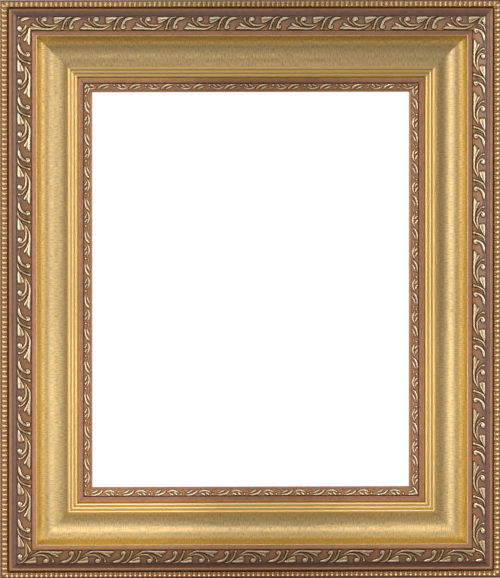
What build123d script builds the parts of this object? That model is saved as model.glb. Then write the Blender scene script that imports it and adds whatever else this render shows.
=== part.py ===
from build123d import *
import math
import os
from collections import namedtuple

# A wall frame of four mitred lengths of gilded moulding, with pressed ornament laid on them and an
# inner slip that holds the picture. X runs to the right and Z up as seen from the front, which
# faces -Y. The origin is the middle of the opening, on the plane of the wooden back.

# Opening and picture rebate
sight_width = 394.0
sight_height = 490.0
rebate_lip = 6.0
rebate_depth = 10.0

# Widths across the moulding's face, from the outer edge inward
edge_width = 1.6
bead_width = 7.5
groove_width = 1.3
fillet_width = 3.4
hollow_width = 6.0
scroll_width = 17.0
line_width = 1.0
flat_width = 5.2
lip_width = 1.2
cove_width = 37.8
reed_width = 4.4
reed_count = 3
slip_play = 0.3
slip_fillet_width = 6.8
slip_line_width = 1.3
sight_band_width = 7.4
bevel_width = 3.0

# Heights above the wooden back
edge_height = 15.0
edge_round = 1.2
groove_depth = 1.2
fillet_height = 21.0
fillet_rise = 0.8
fillet_round = 0.85
hollow_sag = 1.1
scroll_foot_height = 27.0
scroll_head_height = 37.0
line_depth = 1.0
flat_height = 42.6
flat_rise = 0.5
lip_height = 44.0
lip_drop = 0.8
cove_end_height = 31.0
cove_sag = 9.5
reed_rise = 1.5
reed_step = 1.3
ledge_height = 16.0
ledge_width = 7.2
slip_height = 24.5
slip_round = 1.0
slip_line_depth = 1.6
sight_band_outer_height = 22.4
sight_band_inner_height = 18.8
sight_edge_height = 17.0

# Applied ornament
bead_height = 4.4
bead_shoulder = 1.6
rib_pitch = 6.13
rib_depth = 2.4
scroll_ground = 2.0
scroll_relief = 1.9
scroll_pitch_side = 65.5
scroll_pitch_across = 64.4
sight_ground = 0.8
sight_relief = 0.9
sight_pitch_side = 40.3
sight_pitch_across = 39.5

# Where the first repeat of the ornament stands on each length, from the middle of the length
scroll_start_bottom = 21.3
scroll_start_right = -18.2
scroll_start_top = 19.2
scroll_start_left = 22.8
sight_start_bottom = -2.8
sight_start_right = 20.8
sight_start_top = 17.7
sight_start_left = 6.8

# Mitre nails: V-shaped, driven from the back
nail_leg = 7.0
nail_gauge = 0.8
nail_depth = 10.0
nail_places = (18.0, 48.0, 78.0)

# Turn buttons on the slips, and their screws
button_width = 10.0
button_reach = 14.5
button_tail = 5.0
button_corner = 2.0
button_gauge = 1.2
button_gap = 0.2
button_setback = 9.0
button_spacing = 260.0
button_hole_play = 0.1
screw_radius = 1.6
screw_length = 12.0
screw_head_radius = 3.1
screw_head_height = 1.6
screw_sides = 8

# Strap hangers and rings on the side lengths
hanger_height = 150.0
hanger_setback = 42.0
strap_width = 12.0
strap_length = 20.0
strap_gauge = 1.2
strap_corner = 2.5
strap_screw_drop = 11.0
ring_wire = 2.6
ring_play = 0.3
ring_side_play = 0.6
ring_leg = 14.0
ring_corner = 1.4
wire_sides = 6
bow_steps = 8

# Square felt bumpers
bumper_size = 12.0
bumper_height = 6.0
bumper_inset = 22.0

# Places across the moulding's face, measured inward from the outer edge
bead_at = edge_width
groove_at = bead_at + bead_width
fillet_at = groove_at + groove_width
hollow_at = fillet_at + fillet_width
scroll_at = hollow_at + hollow_width
line_at = scroll_at + scroll_width
flat_at = line_at + line_width
lip_at = flat_at + flat_width
cove_at = lip_at + lip_width
reed_at = cove_at + cove_width
step_at = reed_at + reed_count * reed_width
ledge_at = step_at - ledge_width
slip_at = step_at + slip_play
slip_line_at = slip_at + slip_fillet_width
sight_band_at = slip_line_at + slip_line_width
bevel_at = sight_band_at + sight_band_width
sight_at = bevel_at + bevel_width
rebate_at = sight_at - rebate_lip

frame_width = sight_width + 2 * sight_at
frame_height = sight_height + 2 * sight_at

# Each length of moulding has its own axes: X inward from the outer edge, Y to the front and Z along
# the length, which runs round the frame counter-clockwise as seen from the front
Length = namedtuple("Length", "name run axes scrolls leaves")
Repeats = namedtuple("Repeats", "start pitch")


def length_of(name, run, origin, inward, scrolls, leaves):
    front = Vector(0, -1, 0)
    axes = Plane(origin=origin, x_dir=inward, z_dir=Vector(inward).cross(front))
    return Length(name, run, axes, scrolls, leaves)


LENGTHS = (
    length_of("bottom", frame_width, (0, 0, -frame_height / 2), (0, 0, 1),
              Repeats(scroll_start_bottom, scroll_pitch_across),
              Repeats(sight_start_bottom, sight_pitch_across)),
    length_of("right", frame_height, (frame_width / 2, 0, 0), (-1, 0, 0),
              Repeats(scroll_start_right, scroll_pitch_side),
              Repeats(sight_start_right, sight_pitch_side)),
    length_of("top", frame_width, (0, 0, frame_height / 2), (0, 0, -1),
              Repeats(scroll_start_top, scroll_pitch_across),
              Repeats(sight_start_top, sight_pitch_across)),
    length_of("left", frame_height, (-frame_width / 2, 0, 0), (1, 0, 0),
              Repeats(scroll_start_left, scroll_pitch_side),
              Repeats(sight_start_left, sight_pitch_side)),
)
SIDES = [length for length in LENGTHS if length.name in ("left", "right")]
CORNER_WORDS = ("top", "bottom", "left", "right")


def cut_mitres(length):
    """Cuts both ends of the piece in the active part at 45 degrees."""
    for way in (1, -1):
        end = length.axes.from_local_coords((0, 0, way * length.run / 2))
        outward = length.axes.x_dir + length.axes.z_dir * way
        split(bisect_by=Plane(origin=end, z_dir=outward), keep=Keep.BOTTOM)


def below(start, end, sag):
    """The point at the middle of an arc that sags below its chord, square to the chord."""
    run = end[0] - start[0]
    rise = end[1] - start[1]
    chord = math.hypot(run, rise)
    middle = ((start[0] + end[0]) / 2, (start[1] + end[1]) / 2)
    return (middle[0] + sag * rise / chord, middle[1] - sag * run / chord)


def moulding_section():
    """The wooden section, from the back up the outer edge and across the face to the slip ledge."""
    fillet_start = (fillet_at, fillet_height - fillet_rise)
    hollow_start = (hollow_at, fillet_height + fillet_rise)
    hollow_end = (scroll_at, scroll_foot_height + scroll_ground)
    cove_start = (cove_at, lip_height - lip_drop)
    cove_end = (reed_at, cove_end_height)
    with BuildSketch() as section:
        with BuildLine():
            Polyline(
                (0, 0),
                (0, edge_height - edge_round),
                (edge_round, edge_height),
                (groove_at, edge_height),
                (groove_at + groove_width / 2, edge_height - groove_depth),
                (fillet_at, edge_height),
                fillet_start,
            )
            ThreePointArc(fillet_start, below(fillet_start, hollow_start, -fillet_round), hollow_start)
            ThreePointArc(hollow_start, below(hollow_start, hollow_end, hollow_sag), hollow_end)
            Polyline(
                hollow_end,
                (scroll_at, scroll_foot_height),
                (line_at, scroll_head_height),
                (line_at, scroll_head_height + scroll_ground - line_depth),
                (flat_at, scroll_head_height + scroll_ground - line_depth),
                (flat_at, flat_height),
                (lip_at, flat_height + flat_rise),
                (lip_at, lip_height),
                (cove_at, lip_height),
                cove_start,
            )
            ThreePointArc(cove_start, below(cove_start, cove_end, cove_sag), cove_end)
            last = cove_end
            for reed in range(1, reed_count + 1):
                reed_end = (reed_at + reed * reed_width, cove_end_height - reed * reed_step)
                ThreePointArc(last, below(last, reed_end, -reed_rise), reed_end)
                last = reed_end
            Polyline(last, (step_at, ledge_height), (ledge_at, ledge_height), (ledge_at, 0), (0, 0))
        make_face()
    return section.sketch


def slip_section():
    """The slip: a tongue under the moulding's ledge, the brown fillet, the sight edge, the rebate."""
    Polygon(
        (ledge_at + slip_play, 0),
        (ledge_at + slip_play, ledge_height - slip_play),
        (slip_at, ledge_height - slip_play),
        (slip_at, slip_height - slip_round),
        (slip_at + slip_round, slip_height),
        (slip_line_at, slip_height),
        (slip_line_at + slip_line_width / 2, slip_height - slip_line_depth),
        (sight_band_at, sight_band_outer_height + sight_ground),
        (sight_band_at, sight_band_outer_height),
        (bevel_at, sight_band_inner_height),
        (bevel_at, sight_band_inner_height + sight_ground),
        (sight_at, sight_edge_height),
        (sight_at, rebate_depth),
        (rebate_at, rebate_depth),
        (rebate_at, 0),
    )


def band_section(outer, inner, outer_height, inner_height, thickness):
    """The ground of an applied band, laid in its channel between two places across the face."""
    Polygon(
        (outer, outer_height),
        (inner, inner_height),
        (inner, inner_height + thickness),
        (outer, outer_height + thickness),
    )


def ornament_plane(length, outer, inner, outer_height, inner_height):
    """The plane of a band's ground: X along the length, Y up the slope from the outer edge."""
    slope = math.atan2(inner_height - outer_height, inner - outer)
    face = length.axes.y_dir * math.cos(slope) - length.axes.x_dir * math.sin(slope)
    origin = length.axes.from_local_coords((outer, outer_height, 0))
    return Plane(origin=origin, x_dir=length.axes.z_dir, z_dir=face)


def rib_outline(run):
    """The ribs seen from the outer edge: crests and notches in turn, past both ends."""
    crest = edge_height + bead_height
    half_count = math.ceil(run / rib_pitch / 2) + 1
    outline = []
    for rib in range(-half_count, half_count):
        notch = rib * rib_pitch
        outline.append((notch, crest - rib_depth))
        outline.append((notch + rib_pitch / 2, crest))
    last = outline[-1][0]
    return outline + [(last, 0), (-last, 0)]


def repeat_places(run, repeats):
    """Where the repeats of a pattern begin along a length, enough to reach past both ends."""
    count = math.ceil(run / repeats.pitch / 2) + 1
    return [repeats.start + repeat * repeats.pitch for repeat in range(-count, count)]


# Outlines of the raised forms, as shares of the repeat along the band and of its width across
SCROLL_FORMS = (
    # stem that swells from a point and curls over at its head
    ((0.00, 0.09), (0.09, 0.04), (0.19, 0.14), (0.24, 0.50), (0.23, 0.86), (0.18, 0.93),
     (0.15, 0.76), (0.19, 0.50), (0.11, 0.19)),
    # thin stem beside it
    ((0.20, 0.05), (0.30, 0.20), (0.38, 0.90), (0.34, 0.93), (0.28, 0.40)),
    # blunt bell
    ((0.29, 0.05), (0.51, 0.04), (0.51, 0.45), (0.43, 0.39)),
    # long leaf along the inner edge
    ((0.40, 0.56), (0.64, 0.84), (0.93, 0.50), (1.02, 0.96), (0.60, 0.96), (0.48, 0.82)),
    # scroll that turns back into an eye
    ((0.51, 0.60), (0.63, 0.71), (0.74, 0.58), (0.76, 0.12), (0.67, 0.05), (0.64, 0.28),
     (0.70, 0.42), (0.64, 0.56)),
)
SIGHT_FORMS = (
    # leaf that crosses the band
    ((0.02, 0.12), (0.30, 0.30), (0.34, 0.88), (0.12, 0.62)),
    # crescent between two leaves
    ((0.46, 0.42), (0.62, 0.64), (0.80, 0.42), (0.63, 0.90)),
)


def raised_forms(forms, run, repeats, width):
    """Draws every repeat of the outlines in the active sketch."""
    with Locations([(place, 0) for place in repeat_places(run, repeats)]):
        for form in forms:
            Polygon(*[(along * repeats.pitch, across * width) for along, across in form])


def write(part, name):
    part.label = name
    export_step(part, f"parts/{name}.step")


os.makedirs("parts", exist_ok=True)

# Mitre nails: each is a V across the corner joint, with one leg in either length
nails = {}
for length, following in zip(LENGTHS, LENGTHS[1:] + LENGTHS[:1]):
    with BuildPart() as corner_nails:
        for place in nail_places:
            on_mitre = length.axes.from_local_coords((place, 0, length.run / 2 - place))
            back = Plane(origin=on_mitre, x_dir=-length.axes.z_dir, z_dir=-length.axes.y_dir)
            with BuildSketch(back):
                Polygon(
                    (0, 0),
                    (nail_leg, 0),
                    (nail_leg, nail_gauge),
                    (nail_gauge, nail_gauge),
                    (nail_gauge, nail_leg),
                    (0, nail_leg),
                )
            extrude(amount=-nail_depth)
    nails[length.name, following.name] = corner_nails.part
    corner = sorted((length.name, following.name), key=CORNER_WORDS.index)
    write(corner_nails.part, "mitre_nails_" + "_".join(corner))


def screws_at(seats):
    """Pan-head screws whose heads bear on the points given and whose shanks run to the front."""
    with BuildPart() as screws:
        for seat in seats:
            under_head = Plane(origin=seat, x_dir=(1, 0, 0), z_dir=(0, 1, 0))
            with BuildSketch(under_head):
                RegularPolygon(screw_head_radius, screw_sides)
            extrude(amount=screw_head_height)
            with BuildSketch(under_head):
                RegularPolygon(screw_radius, screw_sides)
            extrude(amount=-screw_length)
    return screws.part


# Turn buttons: oblong plates that turn on one end, at rest along the length, clear of the opening
button_places = {}
for length in SIDES:
    for height, level in ((button_spacing / 2, "upper"), (-button_spacing / 2, "lower")):
        pivot = length.axes.from_local_coords((rebate_at - button_setback, 0, 0))
        button_places[f"{length.name}_{level}"] = Vector(pivot.X, 0, height)

for name, pivot in button_places.items():
    front = Plane(origin=pivot + Vector(0, button_gap, 0), x_dir=(0, 0, 1), z_dir=(0, 1, 0))
    with BuildPart() as turn_button:
        with BuildSketch(front):
            with Locations(((button_reach - button_tail) / 2, 0)):
                plate = Rectangle(button_reach + button_tail, button_width)
            chamfer(plate.vertices(), length=button_corner)
            Circle(screw_radius + button_hole_play, mode=Mode.SUBTRACT)
        extrude(amount=button_gauge)
    write(turn_button.part, f"turn_button_{name}")

button_screw_seat = Vector(0, 2 * button_gap + button_gauge, 0)
button_screws = screws_at([pivot + button_screw_seat for pivot in button_places.values()])
write(button_screws, "turn_button_screws")

# Strap hangers: a plate with its upper end rolled into an eye round the ring's straight side
eye_radius = ring_wire / 2 + ring_play
eye_height = eye_radius + strap_gauge
bow_turns = [math.pi * step / bow_steps for step in range(bow_steps + 1)]
hanger_places = {}
for length in SIDES:
    pivot = length.axes.from_local_coords((hanger_setback, 0, 0))
    hanger_places[length.name] = Vector(pivot.X, 0, hanger_height)

for name, pivot in hanger_places.items():
    with BuildPart() as strap:
        with BuildSketch(Plane(origin=pivot, x_dir=(0, 1, 0), z_dir=(1, 0, 0))):
            Polygon((0, 0), (0, -strap_length), (strap_gauge, -strap_length), (strap_gauge, 0))
            with Locations((eye_height, 0)):
                Circle(eye_height)
                Circle(eye_radius, mode=Mode.SUBTRACT)
        extrude(amount=strap_width / 2, both=True)
        with BuildSketch(Plane(origin=pivot, x_dir=(1, 0, 0), z_dir=(0, -1, 0))):
            with Locations((0, -strap_screw_drop)):
                RegularPolygon(screw_radius, screw_sides)
        extrude(amount=-strap_gauge, mode=Mode.SUBTRACT)
        chamfer(strap.edges().filter_by(Axis.Y).group_by(Axis.Z)[0], length=strap_corner)
    write(strap.part, f"hanger_strap_{name}")

    half = strap_width / 2 + ring_side_play + ring_wire / 2
    middle = Plane(origin=pivot + Vector(0, eye_height, 0), x_dir=(1, 0, 0), z_dir=(0, -1, 0))
    with BuildPart() as ring:
        with BuildLine(middle) as loop:
            bow = [(half * math.cos(turn), -ring_leg - half * math.sin(turn)) for turn in bow_turns]
            Polyline((0, 0), (half - ring_corner, 0), (half, -ring_corner), *bow,
                     (-half, -ring_corner), (ring_corner - half, 0), (0, 0))
        with BuildSketch(Plane(origin=loop.line @ 0, z_dir=(1, 0, 0))):
            RegularPolygon(ring_wire / 2, wire_sides)
        sweep(transition=Transition.RIGHT)
    write(ring.part, f"hanger_ring_{name}")

strap_screw_seat = Vector(0, strap_gauge, -strap_screw_drop)
hanger_screws = screws_at([pivot + strap_screw_seat for pivot in hanger_places.values()])
write(hanger_screws, "hanger_screws")

# Bumpers at the lower corners of the back
bumper_across = frame_width / 2 - 2 * bumper_inset
bumper_low = frame_height / 2 - bumper_inset
with BuildPart() as bumpers:
    with BuildSketch(Plane(origin=(0, 0, -bumper_low), x_dir=(1, 0, 0), z_dir=(0, -1, 0))):
        with Locations((-bumper_across, 0), (bumper_across, 0)):
            Rectangle(bumper_size, bumper_size)
    extrude(amount=-bumper_height)
write(bumpers.part, "wall_bumpers")

# The four lengths, each with its moulding, slip and applied bands
moulding_face = moulding_section()
for length in LENGTHS:
    with BuildPart() as moulding:
        with BuildSketch(length.axes):
            add(moulding_face)
        extrude(amount=length.run / 2, both=True)
        cut_mitres(length)
        for corner, corner_nails in nails.items():
            if length.name in corner:
                add(corner_nails, mode=Mode.SUBTRACT)
        if length in SIDES:
            add(hanger_screws, mode=Mode.SUBTRACT)
    write(moulding.part, f"moulding_{length.name}")

    with BuildPart() as slip:
        with BuildSketch(length.axes):
            slip_section()
        extrude(amount=length.run / 2, both=True)
        cut_mitres(length)
        if length in SIDES:
            add(button_screws, mode=Mode.SUBTRACT)
    write(slip.part, f"sight_slip_{length.name}")

    with BuildPart() as bead_band:
        with BuildSketch(length.axes):
            Polygon(
                (bead_at, edge_height),
                (groove_at, edge_height),
                (groove_at - bead_shoulder, edge_height + bead_height),
                (bead_at + bead_shoulder, edge_height + bead_height),
            )
        extrude(amount=length.run / 2, both=True)
        with BuildSketch(Plane(origin=length.axes.from_local_coords((bead_at, 0, 0)),
                               x_dir=length.axes.z_dir, z_dir=-length.axes.x_dir)):
            Polygon(rib_outline(length.run))
        extrude(amount=-bead_width, mode=Mode.INTERSECT)
        cut_mitres(length)
    write(bead_band.part, f"bead_band_{length.name}")

    with BuildPart() as scroll_band:
        with BuildSketch(length.axes):
            band_section(scroll_at, line_at, scroll_foot_height, scroll_head_height, scroll_ground)
        extrude(amount=length.run / 2, both=True)
        ground = ornament_plane(length, scroll_at, line_at, scroll_foot_height + scroll_ground,
                                scroll_head_height + scroll_ground)
        slope_width = math.hypot(scroll_width, scroll_head_height - scroll_foot_height)
        with BuildSketch(ground):
            raised_forms(SCROLL_FORMS, length.run, length.scrolls, slope_width)
        extrude(amount=scroll_relief, dir=length.axes.y_dir)
        cut_mitres(length)
    write(scroll_band.part, f"scroll_band_{length.name}")

    with BuildPart() as sight_band:
        with BuildSketch(length.axes):
            band_section(sight_band_at, bevel_at, sight_band_outer_height, sight_band_inner_height,
                         sight_ground)
        extrude(amount=length.run / 2, both=True)
        ground = ornament_plane(length, sight_band_at, bevel_at, sight_band_outer_height + sight_ground,
                                sight_band_inner_height + sight_ground)
        slope_width = math.hypot(sight_band_width, sight_band_outer_height - sight_band_inner_height)
        with BuildSketch(ground):
            raised_forms(SIGHT_FORMS, length.run, length.leaves, slope_width)
        extrude(amount=sight_relief, dir=length.axes.y_dir)
        cut_mitres(length)
    write(sight_band.part, f"sight_ornament_{length.name}")
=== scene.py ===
import math
from collections import namedtuple

import bpy
import numpy as np
from bpy.props import FloatProperty, FloatVectorProperty, PointerProperty
from mathutils import Matrix, Vector


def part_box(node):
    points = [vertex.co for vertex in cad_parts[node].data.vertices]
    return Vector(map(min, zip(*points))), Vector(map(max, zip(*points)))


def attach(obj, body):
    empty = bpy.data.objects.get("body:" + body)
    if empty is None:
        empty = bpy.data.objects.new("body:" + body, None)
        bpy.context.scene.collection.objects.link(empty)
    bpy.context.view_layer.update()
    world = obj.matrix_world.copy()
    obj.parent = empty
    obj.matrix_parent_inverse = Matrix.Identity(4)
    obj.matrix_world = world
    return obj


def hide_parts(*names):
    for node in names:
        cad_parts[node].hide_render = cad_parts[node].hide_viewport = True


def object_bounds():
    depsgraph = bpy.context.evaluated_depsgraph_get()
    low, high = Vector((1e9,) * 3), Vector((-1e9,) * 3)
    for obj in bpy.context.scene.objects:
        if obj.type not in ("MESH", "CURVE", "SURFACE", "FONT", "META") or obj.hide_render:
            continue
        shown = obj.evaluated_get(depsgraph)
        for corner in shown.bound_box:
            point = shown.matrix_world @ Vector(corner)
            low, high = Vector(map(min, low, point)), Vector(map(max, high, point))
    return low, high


bl_info = {
    "name": "Gilded Frame",
    "version": (1, 0, 0),
    "blender": (4, 5, 0),
    "location": "3D View > Sidebar > Gilded Frame",
    "description": "Builds the mouldings, ornament and fittings of a gilded frame and their finishes",
    "category": "Object",
}

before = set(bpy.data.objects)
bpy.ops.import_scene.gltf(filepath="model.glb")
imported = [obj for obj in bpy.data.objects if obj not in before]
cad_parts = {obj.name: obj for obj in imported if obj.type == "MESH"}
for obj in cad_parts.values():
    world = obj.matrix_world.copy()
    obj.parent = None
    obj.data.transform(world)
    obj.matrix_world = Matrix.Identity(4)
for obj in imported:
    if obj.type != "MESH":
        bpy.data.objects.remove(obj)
CAD_LOW, CAD_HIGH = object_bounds()

mm = 0.001

# The outline of the frame, and the middle of each rail's outer edge
HALF_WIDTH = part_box("moulding_top")[1].x
HALF_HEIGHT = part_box("moulding_left")[1].z

Rail = namedtuple("Rail", "name run middle inward along")
FRONT = Vector((0, -1, 0))
RAILS = (
    Rail("bottom", 2 * HALF_WIDTH, Vector((0, 0, -HALF_HEIGHT)), Vector((0, 0, 1)), Vector((1, 0, 0))),
    Rail("right", 2 * HALF_HEIGHT, Vector((HALF_WIDTH, 0, 0)), Vector((-1, 0, 0)), Vector((0, 0, 1))),
    Rail("top", 2 * HALF_WIDTH, Vector((0, 0, HALF_HEIGHT)), Vector((0, 0, -1)), Vector((-1, 0, 0))),
    Rail("left", 2 * HALF_HEIGHT, Vector((-HALF_WIDTH, 0, 0)), Vector((1, 0, 0)), Vector((0, 0, -1))),
)

Reach = namedtuple("Reach", "outer inner back front")


def reach_of(piece):
    """Where the left one of four pieces lies: across the rail from its outer edge, and up from its back."""
    low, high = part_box(piece + "_left")
    return Reach(low.x + HALF_WIDTH, high.x + HALF_WIDTH, -high.y, -low.y)


MOULDING = reach_of("moulding")
SLIP = reach_of("sight_slip")
RIBS = reach_of("bead_band")
SCROLLS = reach_of("scroll_band")
SIGHT = reach_of("sight_ornament")

# The moulding's face between the applied bands, across the rail
FILLET_AT = RIBS.inner + 1.3 * mm
HOLLOW_AT = FILLET_AT + 3.4 * mm
FLAT_AT = SCROLLS.inner + 1.0 * mm
LIP_AT = FLAT_AT + 5.2 * mm
COVE_AT = LIP_AT + 1.2 * mm
REEDS_AT = COVE_AT + 37.8 * mm
REED_COUNT = 3
REED_WIDTH = (MOULDING.inner - REEDS_AT) / REED_COUNT

# Heights of that face above the back, and how far its curves rise above their chords or sag below them
EDGE_ROUND = 1.2 * mm
GROOVE_DEPTH = 0.5 * mm
FILLET_HEIGHT = 20.4 * mm
FILLET_RISE = 1.15 * mm
HOLLOW_HEIGHT = 21.6 * mm
HOLLOW_SAG = 1.3 * mm
SCROLL_SEATS = (29.0 * mm, 39.0 * mm)
LINE_HEIGHT = 38.0 * mm
FLAT_HEIGHT = 42.6 * mm
FLAT_SLOPE = 0.5 * mm
FLAT_RISE = 0.25 * mm
LIP_EDGE_DROP = 0.3 * mm
LIP_DROP = 0.8 * mm
LIP_RISE = 0.42 * mm
COVE_END_HEIGHT = 31.0 * mm
COVE_SAG = 9.5 * mm
REED_RISE = 1.5 * mm
REED_STEP = 1.3 * mm
LEDGE_WIDTH = 7.2 * mm
LEDGE_HEIGHT = 16.0 * mm

# The slip's face
SLIP_PLAY = 0.3 * mm
SLIP_ROUND = 1.0 * mm
SLIP_EDGE_DROP = 0.12 * mm
SLIP_RISE = 0.15 * mm
SLIP_LINE_WIDTH = 1.3 * mm
SLIP_LINE_DEPTH = 1.6 * mm
SIGHT_SEATS = (23.2 * mm, 19.6 * mm)
SIGHT_STEP = 0.8 * mm
SIGHT_EDGE_HEIGHT = 17.0 * mm
SIGHT_EDGE_RISE = 0.2 * mm
REBATE_LIP = 6.0 * mm
REBATE_DEPTH = 10.0 * mm

# How closely the swept meshes follow the shapes, and the fine gap and stain at the mitres
CORNER_ROUND = 0.25 * mm
CORNER_SHARE = 0.3
SHARP_TURN = math.radians(18)
SHARP_EDGE = math.radians(42)
RAIL_CUTS = 81
MITRE_CUT = 2e-3
JOINT_GAP = 0.05 * mm
JOINT_STAIN = 0.5 * mm

# The ribs: their domes by place and reach along a rib, in shares of it, and what each adds to the height
# and half width of the waist between them
Dome = namedtuple("Dome", "place reach rise widening")
RIB_DOMES = (Dome(0.2, 0.17, 0.28, 0.08), Dome(0.79, 0.13, 0.16, 0.03))
WAIST_HEIGHT = 0.72
WAIST_HALF = 0.32
RIB_ROUNDNESS = 2.2
RIB_END_ROUNDNESS = 3.5
RIB_CUTS = 12
RIB_ROWS = 20
FOOT_SHARE = 0.9
FOOT_SQUARENESS = 8
# The notches between the ribs get a recess mask that the umber wash turns into painted shade: its most, and
# the share of a rib's height below which it starts
RIB_RECESS = 0.6
RIB_RECESS_BELOW = 0.4

# How the relief is worked out, and what a stroke of it loses where it is thin or near the border
TILE_STEP = 0.2 * mm
STROKE_UNIT = 1.32 * mm
STROKE_REACH = 4 * mm
STEPS_PER_SPAN = 7
THIN_STROKE = 1.2 * mm
THIN_POWER = 0.6
BORDER = 0.5 * mm
CREASE_CELLS = 5
CREASE_SHARE = 0.16

# The fittings on the back
ROUND_SIDES = 48
BEVEL_TURN = math.radians(35)
FITTING_BEVEL = 0.15 * mm
NAIL_PLACES = (18 * mm, 48 * mm, 78 * mm)
NAIL_LEG = 7.0 * mm
NAIL_GAUGE = 0.8 * mm
NAIL_DEPTH = 10 * mm
NAIL_PROUD = 0.12 * mm
NAIL_BEVEL = 0.08 * mm
SCREW_RADIUS = 1.6 * mm
SCREW_LENGTH = 11.5 * mm
SCREW_POINT = 0.2
HEAD_RADIUS = 3.05 * mm
HEAD_HEIGHT = 1.6 * mm
HEAD_WALL = 0.25
HEAD_ROUNDNESS = 0.8
HEAD_TOP = 0.06
HEAD_ROWS = 14
CROSS_HALF = HEAD_RADIUS * 0.13
CROSS_REACH = HEAD_RADIUS * 0.58
CROSS_DEPTH = HEAD_HEIGHT * 0.55
CROSS_WALL = 0.5
CROSS_END = 0.2
BUTTON_PIVOT = 5 * mm
BUTTON_HOLE = 1.7 * mm
BUTTON_PLAY = 0.2 * mm
BUTTON_SQUARENESS = 5
STRAP_GAUGE = 1.2 * mm
STRAP_CORNER = 2.5 * mm
STRAP_ROLL = math.radians(318)
STRAP_PIVOT = 20 * mm
STRAP_SCREW = 11 * mm
STRAP_BEVEL = 0.12 * mm
STRAP_STEPS = 12
ROLL_STEPS = 40
WIRE_RADIUS = 1.3 * mm
WIRE_SIDES = 16
BEND_STEPS = 8
LEG_STEPS = 6
BOW_STEPS = 32
WIRE_CORNER = 1.6 * mm
EYE_PLAY = 0.3 * mm
FELT_SQUARENESS = 9
FELT_PROFILE = ((0.0, 1.0), (0.35, 1.0), (0.7, 0.995), (0.9, 0.97), (0.98, 0.92), (1.0, 0.8), (1.0, 0.4),
                (1.0, 0.05))


# Settings


def length(name, description, default):
    return FloatProperty(name=name, description=description, default=default, subtype="DISTANCE",
                         unit="LENGTH")


def angle(name, description, default):
    return FloatProperty(name=name, description=description, default=math.radians(default),
                         subtype="ANGLE", unit="ROTATION")


def power(name, description, default):
    return FloatProperty(name=name, description=description, default=default, unit="POWER")


def linear(value):
    """The linear value of a display value."""
    return value / 12.92 if value <= 0.04045 else ((value + 0.055) / 1.055) ** 2.4


def colour(name, description, red, green, blue):
    """A colour property, from the 8-bit values of a paint chart."""
    return FloatVectorProperty(
        name=name, description=description, subtype="COLOR", size=3, min=0, max=1,
        default=[linear(value / 255) for value in (red, green, blue)])


class OrnamentSizes(bpy.types.PropertyGroup):
    """Sizes of the ribs and of the raised ornament."""

    rib_pitch: length("Rib pitch", "Distance from one rib of the edge to the next", 6.13 * mm)
    rib_depth: length("Rib depth", "How deep the notches between the ribs are", 2.1 * mm)
    scroll_pitch_side: length("Scroll pitch, sides", "One repeat of the scrolls on the side rails",
                              65.5 * mm)
    scroll_pitch_across: length("Scroll pitch, top and bottom", "One repeat on the top and bottom rails",
                                64.4 * mm)
    scroll_relief: length("Scroll relief", "Height of the scrolls above their ground", 2.1 * mm)
    sight_pitch_side: length("Sight pitch, sides", "One repeat of the small leaves on the side rails",
                             40.3 * mm)
    sight_pitch_across: length("Sight pitch, top and bottom", "One repeat on the top and bottom rails",
                               39.5 * mm)
    sight_relief: length("Sight relief", "Height of the small leaves above their ground", 1.1 * mm)


class FinishColours(bpy.types.PropertyGroup):
    """Colours of the leaf, the toned washes, the wood and the metal; several of the golds serve as painted
    highlight and painted shade.
    """

    gold: colour("Gold", "Gold leaf in the cove", 224, 192, 134)
    # Painted shade below the lip and between the reeds, painted light at the slip's outer edge, and the
    # leaf's own warmer tone in its streaks and clouds
    deep_gold: colour("Deep gold", "Deeper gold below the lip and between the reeds", 229, 187, 74)
    # Painted highlight in the upper cove
    bright_gold: colour("Bright gold", "Gold rubbed bright in the upper cove", 252, 208, 130)
    # Painted highlight on the tops of the reeds
    reed_gold: colour("Reed gold", "Gold on the tops of the reeds", 240, 208, 152)
    # Painted highlight on the tops of the ribs
    rib_gold: colour("Rib gold", "Gold on the tops of the ribs", 254, 228, 178)
    # Painted shade on the low flanks of the raised ornament
    old_gold: colour("Old gold", "Toned gold low on the raised ornament", 192, 144, 78)
    # Painted highlight on the lip's edge and on the ornament's tops, as well as rubbed gilding
    pale_gold: colour("Pale gold", "Rubbed gold on the lip and the ornament's tops", 255, 231, 193)
    bronze: colour("Bronze", "Bronze powder on the flats and fillets", 194, 140, 102)
    brown: colour("Brown", "Darker bronze on the fillet of the slip", 158, 108, 84)
    plum: colour("Plum", "Dark purple-brown tone in the hollow", 146, 111, 96)
    # Round the ornament and in the notches of the ribs this umber follows the creases, as painted shade as
    # well as patina
    umber: colour("Umber", "Dark wash in grooves and round the ornament", 62, 34, 8)
    ground: colour("Ground", "Brown ground under the raised ornament", 188, 136, 86)
    groove: colour("Groove", "Brown tone in the grooves", 150, 106, 54)
    edge: colour("Edge", "Paint on the outer edge", 150, 102, 50)
    wood: colour("Wood", "Bare wood on the back", 205, 172, 128)
    wood_dark: colour("Dark wood", "Late growth in the bare wood", 186, 150, 106)
    steel: colour("Steel", "Zinc plated steel", 176, 178, 182)
    felt: colour("Felt", "Brown felt", 84, 66, 52)


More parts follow.
